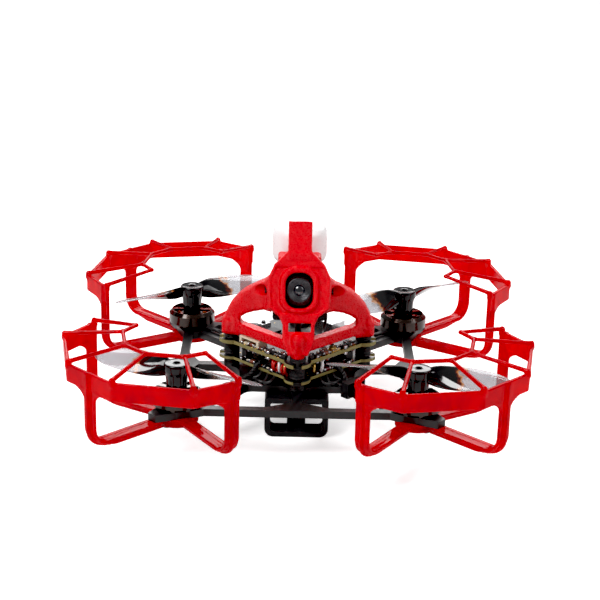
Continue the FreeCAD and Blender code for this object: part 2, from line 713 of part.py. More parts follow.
def make_dampers():
    """Two rubber dampers on each post, each necked where it holds a board."""
    halfway = "(dim.lower_board + dim.lower_thick + dim.upper_board) / 2"
    levels = (
        ("dim.plate_thick", "dim.lower_board", "dim.lower_thick", halfway),
        (halfway, "dim.upper_board", "dim.board_thick", "dim.stack_top"),
    )
    dampers = []
    for low, board, thick, high in levels:
        body = new_body("damper")
        revolve(body, (
            ("dim.stack_screw + 0.05", low),
            ("dim.damper_radius", low),
            ("dim.damper_radius", board),
            ("dim.damper_neck", board),
            ("dim.damper_neck", f"{board} + {thick}"),
            ("dim.damper_radius", f"{board} + {thick}"),
            ("dim.damper_radius", high),
            ("dim.stack_screw + 0.05", high),
        ))
        dampers += [placed_copy(body, "damper_placed", x, y) for x, y in POST_PLACES]
    sub_part(group("stack_dampers", dampers), "stack_dampers")


def make_stack_screws():
    """Four long screws from below; the two that also hold the battery tray start under its top wall."""
    screws = []
    for x, y in POST_PLACES:
        under = "-dim.tray_wall" if x == "0" else "0"
        shank = cylinder("stack_shank", "dim.stack_screw", f"14.4 - ({under})", x, y, under)
        head = cylinder("stack_head", "1.3", "0.9", x, y, f"{under} - 0.9")
        drive = cylinder("stack_drive", "0.55", "0.6", x, y, f"{under} - 1")
        screws.append(cut("stack_screw", fuse("stack_screw_solid", [shank, head]), [drive]))
    sub_part(group("stack_screws", screws), "stack_screws")
    inserts = []
    for x, y in POST_PLACES:
        outer = cylinder("insert_outer", "1.3", "2.6", x, y, "dim.stack_top + 0.4")
        bore = cylinder("insert_bore", "dim.stack_screw", "5", x, y, "dim.stack_top - 1")
        inserts.append(cut("canopy_insert", outer, [bore]))
    sub_part(group("canopy_inserts", inserts), "canopy_inserts")


UPPER_TOP = "dim.upper_board + dim.board_thick"
LOWER_TOP = "dim.lower_board + dim.lower_thick"

# Chips: length, width, thickness, x, y; all sit square to the board's edges.
UPPER_CHIPS = (
    (7.0, 7.0, 0.9, 0.0, 1.0), (4.0, 3.0, 0.9, -7.0, 3.0),
    (3.0, 3.0, 0.9, 6.5, -2.0), (5.0, 4.0, 1.0, 1.0, 10.5),
)
LOWER_CHIPS = (
    (5.0, 5.0, 0.9, 0.0, 0.0), (3.0, 3.0, 0.9, -10.0, -6.5), (3.0, 3.0, 0.9, -6.5, -10.0),
    (3.0, 3.0, 0.9, 10.0, -6.5), (3.0, 3.0, 0.9, 6.5, -10.0), (3.0, 3.0, 0.9, -10.0, 6.5),
    (3.0, 3.0, 0.9, 6.5, 10.0), (2.6, 1.8, 2.4, 13.6, -3.6), (2.6, 1.8, 2.4, -13.6, -3.6),
)
EDGE_PART = (1.5, 0.9, 0.8)
EDGE_PARTS_LEFT = (-7.8, -6.4, -5.0, -3.6)
EDGE_PARTS_RIGHT = (3.6, 5.0, 6.4, 12.6, 14.0, 15.4)
EDGE_LINE = 19.6


def chips(name, low, table):
    return [block(name, (long, wide, tall), (x, y), low, 45) for long, wide, tall, x, y in table]


def edge_parts(name, low):
    """Small parts in a row behind the two front edges of a board."""
    items = []
    for x in EDGE_PARTS_LEFT + EDGE_PARTS_RIGHT:
        turn = -45 if x < 0 else 45
        items.append(block(name, EDGE_PART, (x, abs(x) - EDGE_LINE), low, turn))
    return items


def pipe(name, points, radius, leaves=None, arrives=None):
    """A round wire along a smooth path; leaves and arrives fix its direction at its two ends."""
    path = Part.BSplineCurve()
    stations = [Vector(*point) for point in points]
    slopes = [Vector(0, 0, 1)] * len(stations)
    fixed = [False] * len(stations)
    for index, direction in ((0, leaves), (-1, arrives)):
        if direction is not None:
            slopes[index] = Vector(*direction)
            fixed[index] = True
    if any(fixed):
        path.interpolate(Points=stations, Tangents=slopes, TangentFlags=fixed)
    else:
        path.interpolate(stations)
    start = Vector(*points[0])
    section = Part.Wire(Part.makeCircle(radius, start, path.tangent(path.FirstParameter)[0]))
    return free_form(name, Part.Wire(path.toShape()).makePipeShell([section], True, False))


def make_electronics():
    make_board("lower_board", "dim.lower_board", "dim.lower_thick")
    make_board("upper_board", "dim.upper_board", "dim.board_thick")
    make_dampers()
    make_stack_screws()
    sub_part(group("lower_board_chips", chips("lower_chip", LOWER_TOP, LOWER_CHIPS)), "lower_board_chips")
    upper = chips("upper_chip", UPPER_TOP, UPPER_CHIPS) + edge_parts("upper_edge_part", UPPER_TOP)
    sub_part(group("upper_board_chips", upper), "upper_board_chips")
    header = block("header", (7.0, 2.6, f"dim.upper_board - ({LOWER_TOP})"), (9.3, 2.2), LOWER_TOP, 45)
    sub_part(header, "board_header")
    usb_outer = block("usb_outer", (5.2, 7.4, 2.4), (8.6, 8.6), UPPER_TOP, 45)
    usb_mouth = block("usb_mouth", (4.6, 6.8, 1.8), (8.9, 8.9), f"{UPPER_TOP} + 0.3", 45)
    sub_part(cut("usb_socket", usb_outer, [usb_mouth]), "usb_socket")
    plug_outer = block("receiver_outer", (7.4, 3.3, 1.9), (-12.1, -5.9), UPPER_TOP, -45)
    plug_mouth = block("receiver_mouth", (5.8, 2.4, 1.1), (-12.6, -6.4), f"{UPPER_TOP} + 0.4", -45)
    sub_part(cut("receiver_socket", plug_outer, [plug_mouth]), "receiver_socket")
    base = block("antenna_socket_base", (2.6, 2.6, 0.4), (9.4, -9.4), UPPER_TOP, 45)
    ring = cylinder("antenna_socket_ring", 1.0, 1.1, 9.4, -9.4, UPPER_TOP)
    sub_part(fuse("antenna_socket", [base, ring]), "antenna_socket")
    make_boot_button()


def make_boot_button():
    """A tactile button that travels a fifth of a millimetre."""
    x, y = -9.6, 8.2
    case = block("boot_case", (3.2, 2.6, 1.2), (x, y), UPPER_TOP, 45)
    well = cylinder("boot_well", 0.62, 2, x, y, f"{UPPER_TOP} + 0.4")
    sub_part(cut("boot_button_case", case, [well]), "boot_button_case")
    sub_part(cylinder("boot_plunger", 0.57, 1.0, x, y, f"{UPPER_TOP} + 0.65"), "boot_button_plunger")


def arm_point(distance, sideways, height, turn):
    """A point over a diagonal arm, given by its distance from the centre."""
    point = Vector(distance, sideways, height)
    return tuple(Rotation(Vector(0, 0, 1), turn).multVec(point))


def make_wires():
    motor_edge = value(f"dim.motor_offset * sqrt(2) - {BASE_RADIUS}") - 0.05
    board_edge = value("dim.board_side / 2")
    low = value("dim.plate_thick") + 0.45
    high = value(LOWER_TOP) + 0.42
    run = (
        (motor_edge, low), (30.0, low), (22.0, low), (board_edge + 4.4, low + 0.06),
        (board_edge + 2.6, low + 0.65), (board_edge + 1.1, value("dim.lower_board") + 0.35),
        (board_edge + 0.2, high + 0.06), (board_edge - 1.2, high),
    )
    wires = []
    for turn in (45, 135, 225, 315):
        for sideways in (-0.85, 0.0, 0.85):
            points = [arm_point(distance, sideways, height, turn) for distance, height in run]
            wires.append(pipe("motor_wire", points, 0.38))
    sub_part(group("motor_wires", wires), "motor_wires")
    bottom, top = value(LOWER_TOP) + 0.02, value("dim.upper_board") - 0.02
    links = []
    for x in (-5.6, -4.6, -3.6, -2.7):
        y = abs(x) - EDGE_LINE
        bulge = (x - 0.5, y - 0.7)
        points = ((x, y, bottom), (*bulge, bottom + 1.0), (*bulge, top - 1.0), (x, y, top))
        links.append(pipe("link_wire", points, 0.36, leaves=(0, 0, 1), arrives=(0, 0, 1)))
    sub_part(group("link_wires", links), "link_wires")
    sleeve = block("sleeve_outer", (2.6, 6.7, 4.2), ("0", "0"), "-0.5")
    hollow = block("sleeve_hollow", (4, 5.8, 3.4), ("0", "0"), "-0.1")
    wrap = cut("sleeve", sleeve, [hollow])
    sub_part(placed_copy(wrap, "arm_tape", 15.0, -15.0, turn=-45), "arm_tape")


# ---------------------------------------------------------------- camera and canopy

# In the face's own frame x is across, y runs backwards from the face and z runs up the face.
CAMERA_BACK = 3.0
CAMERA_FRONT = 3.2
CAMERA_ABOVE = 5.6
CAMERA_BELOW = 8.0
FACE_THICK = 1.8
HEAD_DEPTH = 10.6
CAMERA_ROOM_DEPTH = 9.4
CHEEK_OUTER = 8.4


def face_rotation():
    return Rotation(Vector(1, 0, 0), -value("dim.face_tilt"))


def on_face(item):
    """Moves an object from the face's own frame to its place on the drone."""
    return place(item, "0", "-dim.nose_y", "dim.nose_z", face_rotation())


def at_camera(item):
    """Moves an object from the camera's own frame, centred on its tilt axis, to its place on the drone."""
    tilt = "(dim.face_tilt * pi / 180 * 1rad)"
    y = f"-dim.nose_y + dim.lens_up * sin({tilt}) + dim.lens_back * cos({tilt})"
    z = f"dim.nose_z + dim.lens_up * cos({tilt}) - dim.lens_back * sin({tilt})"
    return place(item, "0", y, z, face_rotation())


def lying_cylinder(name, radius, length, start):
    """A cylinder along the lens axis whose front end is at y = start."""
    return cylinder(name, radius, length, y=f"{start} + {length}", rotation=Rotation(Vector(1, 0, 0), 90))


def cross_cylinder(name, radius, length, start, y="0", z="0"):
    """A cylinder along X that starts at x = start."""
    return cylinder(name, radius, length, x=start, y=y, z=z, rotation=Rotation(Vector(0, 1, 0), 90))


def face_outline(name, corners, front, depth):
    """A body whose outline lies on the face and that runs backwards from y = front."""
    body = new_body(name)
    sketch = new_sketch(body, "XZ_Plane", f"-({front})")
    draw_outline(sketch, corners)
    add_feature(body, "Pad", sketch, depth, reverse=True)
    return body


def both_sides(half):
    """Completes an outline from its right half, listed from the bottom to the top."""
    return list(half) + [(f"-({c[0]})",) + tuple(c[1:]) for c in reversed(half)]


def make_camera():
    shell = face_outline("camera_shell", both_sides((
        ("dim.camera_half - 0.05", -CAMERA_BELOW, "0.8"),
        ("dim.camera_half - 0.05", "3.0"),
        ("dim.camera_half - 1.8", CAMERA_ABOVE, "0.6"),
    )), -CAMERA_FRONT, CAMERA_FRONT + CAMERA_BACK - 0.8)
    thread_starts = ("dim.camera_half - 1.9", "-dim.camera_half - 0.1")
    holes = [cross_cylinder("camera_thread", 0.5, 2.0, x) for x in thread_starts]
    throat = lying_cylinder("camera_throat", 2.6, 2.2, -CAMERA_FRONT - 0.2)
    housing = cut("camera_housing", shell, holes + [throat])
    sub_part(at_camera(housing), "camera_housing")
    board = face_outline("camera_back_board", both_sides((
        ("dim.camera_half - 0.6", 0.6 - CAMERA_BELOW), ("dim.camera_half - 2.2", CAMERA_ABOVE - 0.8),
    )), CAMERA_BACK - 0.8, 0.8)
    sub_part(at_camera(board), "camera_back_board")
    base = lying_cylinder("lens_base", 4.1, 1.2, -CAMERA_FRONT - 1.2)
    barrel = lying_cylinder("lens_tube", "dim.lens_radius", "dim.lens_back - 3.4", "-dim.lens_back + 0.2")
    spigot = lying_cylinder("lens_spigot", 2.6, 2.0, -CAMERA_FRONT)
    mouth = document.addObject("Part::Cone", "lens_mouth")
    for size, expression in (("Radius1", "2.6"), ("Radius2", "1.5"), ("Height", "1.2")):
        mouth.setExpression(size, expression)
    place(mouth, y="-dim.lens_back + 0.2", rotation=Rotation(Vector(1, 0, 0), -90))
    seat = lying_cylinder("lens_seat", 1.5, 0.7, "-dim.lens_back + 1.4")
    lens = cut("camera_lens_barrel", fuse("lens_solid", [base, barrel, spigot]), [mouth, seat])
    sub_part(at_camera(lens), "camera_lens_barrel")
    ball = solid("Part::Sphere", "lens_ball", {"Radius": 2.2}, y="-dim.lens_back + 2.9")
    rim = lying_cylinder("lens_rim", 1.48, 1.4, "-dim.lens_back + 0.5")
    glass = document.addObject("Part::MultiCommon", "camera_lens_glass")
    glass.Shapes = [ball, rim]
    sub_part(at_camera(glass), "camera_lens_glass")
    screws = []
    for side in (1, -1):
        shank_start = "dim.camera_half - 1.6" if side == 1 else f"-{CHEEK_OUTER} - 0.05"
        shank_length = f"{CHEEK_OUTER} + 0.05 - dim.camera_half + 1.6"
        head_start = CHEEK_OUTER + 0.05 if side == 1 else -CHEEK_OUTER - 0.75
        shank = cross_cylinder("camera_screw_shank", 0.5, shank_length, shank_start)
        head = cross_cylinder("camera_screw_head", 1.0, 0.7, head_start)
        screws.append(fuse("camera_screw", [shank, head]))
    sub_part(at_camera(group("camera_screws", screws)), "camera_screws")


def camera_bay(name, depth):
    """The room between the cheeks, behind the mask."""
    half = (
        ("dim.cheek_inner", "6.0"),
        ("dim.cheek_inner", "dim.lens_up + 3.4"),
        ("5.5", "dim.lens_up + 6.4"),
    )
    return face_outline(name, both_sides(half), FACE_THICK, depth)


def canopy_head():
    """The mask, its cheeks, the neck down to the nose and the shield above, in the face's frame."""
    mask = face_outline("canopy_mask", both_sides((
        ("2.6", "-1.6"), ("4.3", "2.0", "3"), ("4.3", "6.2", "4"), ("5.4", "9.0", "3"),
        (CHEEK_OUTER, "10.6", "1.5"), (CHEEK_OUTER, "18.4", "3"), ("6.2", "23.0", "2.5"), ("3.0", "25.6"),
    )), "0", FACE_THICK)
    hood = face_outline("canopy_hood", both_sides((
        (CHEEK_OUTER, "10.6"), (CHEEK_OUTER, "18.4", "3"), ("6.2", "23.0", "2.5"), ("3.0", "25.6"),
    )), "1.0", HEAD_DEPTH)
    ring = face_outline("canopy_ring", both_sides((
        ("6.3", "dim.lens_up - 7.4", "5.2"), ("6.3", "dim.lens_up + 7.2", "5.2"),
    )), "-1.0", 2.0)
    shield = block("canopy_shield", (6.2, 3.0, 9.4), ("0", "1.5"), "24.6")
    solids = fuse("canopy_head_solid", [mask, hood, ring, shield])
    cavity = camera_bay("camera_bay", 2 * HEAD_DEPTH)
    window = face_outline("canopy_window", both_sides((
        ("3.65", "dim.lens_up - 4.8", "3.0"), ("3.65", "dim.lens_up + 4.6", "3.0"),
    )), "-3", 8)
    slot = block("canopy_slot", (5.6, 6, 2.0), ("0.3", "0"), "4.8")
    return on_face(cut("canopy_head", solids, [cavity, window, slot]))


# Right arm of the canopy from its foot to its cheek: x, y, z of the middle, then half its depth and height.
CANOPY_ARM = (
    (18.2, 0.0, 14.0, 2.0, 2.2), (17.8, -0.4, 17.0, 2.0, 2.3), (15.9, -2.2, 20.6, 2.0, 2.6),
    (12.8, -4.6, 23.4, 2.1, 3.1), (9.6, -6.4, 25.2, 2.3, 4.0), (7.8, -7.4, 25.9, 2.4, 4.7),
)


def canopy_arm(side):
    """A tapering bar lofted through rounded sections that stand square to its path."""
    middles = [Vector(side * x, y, z) for x, y, z, depth, height in CANOPY_ARM]
    wires = []
    for i, (x, y, z, depth, height) in enumerate(CANOPY_ARM):
        along = (middles[min(i + 1, len(middles) - 1)] - middles[max(i - 1, 0)]).normalize()
        across = Vector(0, 1, 0) - along * along.y
        across.normalize()
        up = along.cross(across)
        points = []
        steps = 12
        for step in range(steps):
            angle = 2 * math.pi * step / steps
            points.append(middles[i] + across * depth * math.cos(angle) + up * height * math.sin(angle))
        curve = Part.BSplineCurve()
        curve.interpolate(points, True)
        wires.append(Part.Wire(curve.toShape()))
    return free_form("canopy_arm", Part.makeLoft(wires, True, False))


def make_canopy():
    feet = [cylinder("canopy_foot", 2.5, 4.0, x, y, "dim.stack_top") for x, y in POST_PLACES]
    nose = cylinder("canopy_nose", 1.9, 5.0, "0", "-19.1", "dim.stack_top")
    cap = solid("Part::Sphere", "canopy_nose_cap", {"Radius": 1.9}, "0", "-19.1", "dim.stack_top + 5")
    bars = []
    for side in (1, -1):
        centre = (f"{side * 8.85}", "-8.85")
        bars.append(block("canopy_bar", (24.4, 3.0, 2.9), centre, "dim.stack_top + 0.7", side * 45))
    arms = [canopy_arm(1), canopy_arm(-1)]
    spine = block("canopy_spine", (7.0, 9.0, 3.0), ("0", "-4.2"), "31.6")
    crown = block("canopy_crown", (11.6, 5.0, 6.4), ("0", "-2.4"), "28.4")
    shelf = cylinder("canopy_shelf", 4.6, 1.8, "0", "dim.antenna_y", "dim.antenna_low - 1.8")
    neck = block("canopy_shelf_neck", (7.0, 9.0, 1.8), ("0", "3.6"), "dim.antenna_low - 1.8")
    strut = block("canopy_strut", (5.0, 2.6, 16.4), ("0", "0"), "0")
    place(strut, "-2.5", "16.9", "dim.stack_top + 2.2", Rotation(Vector(1, 0, 0), 26))
    upper = [canopy_head(), spine, crown, shelf, neck, strut]
    solids = fuse("canopy_solid", feet + [nose, cap] + bars + arms + upper)
    bores = [cylinder("foot_bore", 1.3, 3.1, x, y, "dim.stack_top - 0.1") for x, y in POST_PLACES]
    lead_hole = cylinder("antenna_lead_hole", 0.9, 6, "0", "dim.antenna_y", "dim.antenna_low - 4")
    screw_way = [
        cross_cylinder("screw_hole", 0.56, 3.0, 6.6),
        cross_cylinder("screw_hole", 0.56, 3.0, -9.6),
        cross_cylinder("screw_access", 1.4, 8.0, CHEEK_OUTER),
        cross_cylinder("screw_access", 1.4, 8.0, -CHEEK_OUTER - 8.0),
    ]
    room = [at_camera(group("screw_way", screw_way)), on_face(camera_bay("camera_room", CAMERA_ROOM_DEPTH))]
    sub_part(cut("canopy", solids, bores + [lead_hole] + room), "canopy")


def make_antenna():
    body = new_body("antenna_cap")
    revolve(body, (
        ("0", "dim.antenna_low"),
        ("dim.antenna_radius", "dim.antenna_low", "2.4"),
        ("dim.antenna_radius", "dim.antenna_top", "2.6"),
        ("0", "dim.antenna_top"),
    ))
    place(body, y="dim.antenna_y")
    sub_part(body, "antenna_cap")
    low, back = value("dim.antenna_low"), value("dim.antenna_y")
    points = (
        (0, back, low), (0, back, low - 3.2), (2.6, back - 1.2, low - 8.0), (7.5, back - 5.0, 16.5),
        (7.2, 1.0, 12.8), (6.9, -4.6, 11.66), (8.6, -8.2, 11.66), (9.4, -9.8, 11.66),
    )
    sub_part(pipe("antenna_cable", points, 0.42, leaves=(0, 0, -1)), "antenna_cable")
    camera_low = value("dim.upper_board + dim.board_thick")
    ribbon = (
        (0, -1.2, camera_low + 0.95), (0, -0.6, 14.5), (0, -1.2, 19.0), (0, -2.4, 23.4), (0, -4.8, 25.2),
    )
    into_camera = face_rotation().multVec(Vector(0, -1, 0))
    sub_part(pipe("camera_cable", ribbon, 0.9, leaves=(0, 0, 1), arrives=into_camera), "camera_cable")


# ---------------------------------------------------------------- battery tray


def tray_loop(name, y):
    """One rectangular loop with rounded lower corners that hugs the battery."""
    body = new_body(name)
    sketch = new_sketch(body, "XZ_Plane", f"-({y})")
    draw_outline(sketch, both_sides((
        ("dim.tray_half", "-dim.tray_bottom", "2.4"), ("dim.tray_half", "0", "0.8"),
    )))
    add_feature(body, "Pad", sketch, "dim.loop_length", reverse=True)
    inside = new_sketch(body, "XZ_Plane", f"-({y}) + 1")
    draw_outline(inside, both_sides((
        ("dim.tray_half - dim.tray_wall", "-dim.tray_bottom + dim.tray_wall", "1.2"),
        ("dim.tray_half - dim.tray_wall", "-dim.tray_wall", "0.5"),
    )))
    add_feature(body, "Pocket", inside, "dim.loop_length + 2")
    return body


def make_tray():
    loops = [
        tray_loop("tray_front_loop", "-dim.tray_front"),
        tray_loop("tray_rear_loop", "dim.tray_front - dim.loop_length"),
    ]
    length = "2 * dim.tray_front - dim.loop_length"
    rails = []
    for side in (1, -1):
        x = f"{side} * (dim.tray_half - dim.tray_wall / 2)"
        rails.append(block("tray_rail", ("dim.tray_wall", length, 3.6), (x, "0"), "-dim.tray_bottom + 3"))
    floor = block("tray_floor", (5.0, length, "dim.tray_wall"), ("0", "0"), "-dim.tray_bottom")
    posts = [place for place in POST_PLACES if place[0] == "0"]
    holes = [cylinder("tray_hole", "dim.stack_screw + 0.05", 4, x, y, -3) for x, y in posts]
    sub_part(cut("battery_tray", fuse("tray_solid", loops + rails + [floor]), holes), "battery_tray")


def check_and_export():
    """Stops on any failed feature or bad solid, then writes one STEP file for each sub-part."""
    for item in document.Objects:
        if "Invalid" in item.State or "Error" in item.State:
            raise RuntimeError(f"{item.Name} failed to build: {item.State}")
    for item in sub_parts:
        if item.Shape.isNull() or not item.Shape.isValid() or not item.Shape.Solids:
            raise RuntimeError(f"{item.Label} is not a valid solid")
        item.Shape.exportStep(os.path.join("parts", f"{item.Label}.step"))
    print(f"{len(sub_parts)} sub-parts written")


fill_sheet()
make_frame_plate()
make_guards()
make_motors()
make_electronics()
make_wires()
make_camera()
make_canopy()
make_antenna()
make_tray()
document.recompute()
check_and_export()
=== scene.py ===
import json
import math

import bmesh
import bpy
import numpy as np
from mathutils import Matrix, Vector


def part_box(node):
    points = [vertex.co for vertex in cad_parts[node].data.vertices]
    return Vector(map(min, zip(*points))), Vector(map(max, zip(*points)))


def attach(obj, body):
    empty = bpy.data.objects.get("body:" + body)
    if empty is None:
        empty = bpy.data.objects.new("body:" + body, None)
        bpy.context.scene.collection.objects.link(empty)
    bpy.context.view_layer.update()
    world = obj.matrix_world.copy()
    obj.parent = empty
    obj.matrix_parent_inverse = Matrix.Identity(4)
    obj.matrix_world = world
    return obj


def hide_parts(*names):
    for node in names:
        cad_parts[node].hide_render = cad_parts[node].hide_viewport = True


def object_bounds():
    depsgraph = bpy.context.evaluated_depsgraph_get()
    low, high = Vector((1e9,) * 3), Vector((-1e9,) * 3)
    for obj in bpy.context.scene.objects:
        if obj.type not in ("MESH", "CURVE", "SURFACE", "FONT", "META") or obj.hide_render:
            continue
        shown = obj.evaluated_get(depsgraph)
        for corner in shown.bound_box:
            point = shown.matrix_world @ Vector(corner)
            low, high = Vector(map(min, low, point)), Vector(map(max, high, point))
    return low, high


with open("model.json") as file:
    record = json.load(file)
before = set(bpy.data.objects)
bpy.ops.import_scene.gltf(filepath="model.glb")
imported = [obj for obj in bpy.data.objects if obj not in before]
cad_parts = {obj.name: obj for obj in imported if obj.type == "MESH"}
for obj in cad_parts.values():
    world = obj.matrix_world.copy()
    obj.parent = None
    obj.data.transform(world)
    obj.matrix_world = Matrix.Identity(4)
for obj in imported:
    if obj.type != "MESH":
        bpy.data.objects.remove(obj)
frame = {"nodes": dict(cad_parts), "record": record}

import openvdb
from mathutils import Matrix, Vector

CAD_LOW, CAD_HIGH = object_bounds()

# Lengths in this script are millimetres until a mesh is made; MM turns them into metres.
MM = 0.001
FAR = 50.0
CORNERS = {"front_right": (1, -1), "rear_right": (1, 1), "rear_left": (-1, 1), "front_left": (-1, -1)}
CORNER_TURNS = {"front_right": -90.0, "rear_right": 0.0, "rear_left": 90.0, "front_left": 180.0}
MOTOR_OFFSET = 31.0
POST = 25.5 / math.sqrt(2)
POSTS = ((POST, 0), (0, POST), (-POST, 0), (0, -POST))
FACE_TILT = math.radians(19.0)
FACE_FOOT = (0.0, -20.0, 14.0)
LENS_UP = 15.6
LENS_BACK = 7.3
PROP_REACH = 24.4


# ---- procedural materials


class Shader:
    """A small builder for one procedural material; mm is the object's own position in millimetres."""

    def __init__(self, name):
        self.material = bpy.data.materials.new(name)
        self.material.use_nodes = True
        self.nodes = self.material.node_tree.nodes
        self.links = self.material.node_tree.links
        self.nodes.clear()
        place = self.nodes.new("ShaderNodeTexCoord").outputs["Object"]
        self.mm = self.add("ShaderNodeVectorMath", {0: place, "Scale": 1 / MM}, operation="SCALE").outputs[0]

    def add(self, kind, inputs=None, **settings):
        node = self.nodes.new(kind)
        for key, setting in settings.items():
            setattr(node, key, setting)
        for key, given in (inputs or {}).items():
            if isinstance(given, bpy.types.NodeSocket):
                self.links.new(given, node.inputs[key])
            else:
                node.inputs[key].default_value = given
        return node

    def math(self, operation, a, b=0.0, clamp=False):
        return self.add("ShaderNodeMath", {0: a, 1: b}, operation=operation, use_clamp=clamp).outputs[0]

    def scale_add(self, a, factor, offset):
        return self.add("ShaderNodeMath", {0: a, 1: factor, 2: offset}, operation="MULTIPLY_ADD").outputs[0]

    def split(self, vector=None):
        """The x, y and z of a position in millimetres."""
        return self.add("ShaderNodeSeparateXYZ", {0: vector or self.mm}).outputs

    def stretch(self, x, y, z):
        """The position with each axis scaled."""
        return self.add("ShaderNodeVectorMath", {0: self.mm, 1: (x, y, z)}, operation="MULTIPLY").outputs[0]

    def noise(self, scale, detail=3.0, vector=None, distortion=0.0):
        inputs = {"Vector": vector or self.mm, "Scale": scale, "Detail": detail, "Distortion": distortion}
        return self.add("ShaderNodeTexNoise", inputs).outputs["Fac"]

    def ramp(self, factor, stops):
        """A colour ramp through (position, grey or colour) stops."""
        node = self.add("ShaderNodeValToRGB", {"Fac": factor})
        elements = node.color_ramp.elements
        while len(elements) < len(stops):
            elements.new(0.5)
        for element, (position, shade) in zip(elements, stops):
            element.position = position
            element.color = (*shade, 1) if isinstance(shade, tuple) else (shade, shade, shade, 1)
        return node.outputs["Color"]

    def mix(self, factor, a, b, blend="MIX"):
        node = self.add("ShaderNodeMix", {0: factor}, data_type="RGBA", blend_type=blend)
        for index, given in ((6, a), (7, b)):
            if isinstance(given, bpy.types.NodeSocket):
                self.links.new(given, node.inputs[index])
            else:
                node.inputs[index].default_value = (*given, 1)
        return node.outputs[2]

    def bump(self, height, depth, normal=None):
        """A normal disturbed by a height between 0 and 1, depth millimetres deep."""
        inputs = {"Height": height, "Strength": 1.0, "Distance": depth * MM}
        if normal is not None:
            inputs["Normal"] = normal
        return self.add("ShaderNodeBump", inputs).outputs[0]

    def round_edges(self, radius):
        return self.add("ShaderNodeBevel", {"Radius": radius * MM}, samples=4).outputs[0]

    def facing_up(self):
        """1 on level faces, 0 on upright ones."""
        normal = self.add("ShaderNodeNewGeometry").outputs["True Normal"]
        turned = self.add("ShaderNodeVectorTransform", {0: normal}, vector_type="NORMAL",
                          convert_from="WORLD", convert_to="OBJECT").outputs[0]
        return self.math("ABSOLUTE", self.split(turned)[2])

    def surface(self, color, roughness, **inputs):
        """A Principled surface; other inputs are named with underscores for spaces."""
        if not isinstance(color, bpy.types.NodeSocket):
            color = (*color, 1)
        values = {"Base Color": color, "Roughness": roughness}
        for key, given in inputs.items():
            values[key.replace("_", " ")] = given
        return self.add("ShaderNodeBsdfPrincipled", values).outputs[0]

    def done(self, surface):
        self.add("ShaderNodeOutputMaterial", {"Surface": surface})
        return self.material

    def blend(self, factor, a, b):
        return self.add("ShaderNodeMixShader", {0: factor, 1: a, 2: b}).outputs[0]


def guard_plastic():
    """Clear red moulded plastic: deep where light falls on it, orange-red where light comes through."""
    s = Shader("guard_plastic")
    swirl = s.noise(0.12, 4.0, distortion=1.5)
    color = s.ramp(swirl, ((0.36, (0.24, 0.0, 0.014)), (0.64, (0.6, 0.001, 0.008))))
    rough = s.ramp(s.noise(0.8, 5.0), ((0.35, 0.05), (0.7, 0.16)))
    normal = s.bump(s.noise(0.5, 2.0), 0.04, s.round_edges(0.18))
    skin = s.surface(color, rough, Normal=normal, Specular_IOR_Level=0.3)
    glow = s.add("ShaderNodeBsdfTranslucent", {"Color": (1.0, 0.014, 0.0, 1)}).outputs[0]
    clear = s.add("ShaderNodeBsdfTransparent", {"Color": (1.0, 0.02, 0.008, 1)}).outputs[0]
    return s.done(s.blend(0.14, s.blend(0.54, skin, glow), clear))


def layered_plastic(name, dark, light, rough, layer=0.24, depth=0.03, glow=0.0):
    """Printed flexible plastic: fine level layers, small blobs and a soft surface."""
    s = Shader(name)
    wander = s.math("MULTIPLY", s.noise(0.25, 2.0), 0.5)
    height = s.math("ADD", s.split()[2], wander)
    layers = s.math("SINE", s.math("MULTIPLY", height, 2 * math.pi / layer))
    layers = s.scale_add(layers, 0.5, 0.5)
    blobs = s.ramp(s.noise(1.6, 4.0), ((0.56, 0.0), (0.72, 1.0)))
    patches = s.noise(0.35, 5.0)
    color = s.mix(patches, dark, light)
    color = s.mix(s.math("MULTIPLY", layers, 0.12), color, dark)
    roughness = s.ramp(s.noise(2.5, 4.0), ((0.3, rough - 0.1), (0.75, rough + 0.15)))
    normal = s.bump(blobs, 0.03, s.bump(layers, depth))
    skin = s.surface(color, roughness, Normal=normal, Subsurface_Weight=glow, Specular_IOR_Level=0.28,
                     Subsurface_Radius=(1.0, 0.12, 0.08), Subsurface_Scale=1.2 * MM)
    return s.done(skin)


def carbon():
    """Twill weave on the faces and fine ply lines on the edges, under a thin resin coat."""
    s = Shader("carbon_plate")
    x, y, z = s.split()
    along = s.math("MULTIPLY", s.math("ADD", x, y), 0.62)
    across = s.math("MULTIPLY", s.math("SUBTRACT", x, y), 0.62)
    step = s.math("FLOOR", along)
    shifted = s.math("ADD", across, s.math("MULTIPLY", step, 0.5))
    tow = s.math("PINGPONG", shifted, 1.0)
    weave = s.math("GREATER_THAN", tow, 0.5)
    fibres = s.add("ShaderNodeTexWave", {"Vector": s.mm, "Scale": 3.0, "Distortion": 0.6}).outputs["Fac"]
    plies = s.math("MULTIPLY", s.math("PINGPONG", z, 0.18), 5.0)
    top = s.math("GREATER_THAN", s.facing_up(), 0.5)
    face = s.mix(weave, (0.007, 0.007, 0.008), (0.013, 0.013, 0.015))
    edge = s.mix(plies, (0.005, 0.005, 0.006), (0.014, 0.014, 0.015))
    color = s.mix(top, edge, face)
    rough = s.math("ADD", s.math("MULTIPLY", weave, 0.06), s.scale_add(fibres, 0.1, 0.34))
    normal = s.bump(s.math("ADD", s.math("MULTIPLY", weave, 0.6), s.math("MULTIPLY", plies, 0.4)), 0.012,
                    s.round_edges(0.12))
    return s.done(s.surface(color, rough, Normal=normal, Coat_Weight=0.15, Coat_Roughness=0.2))


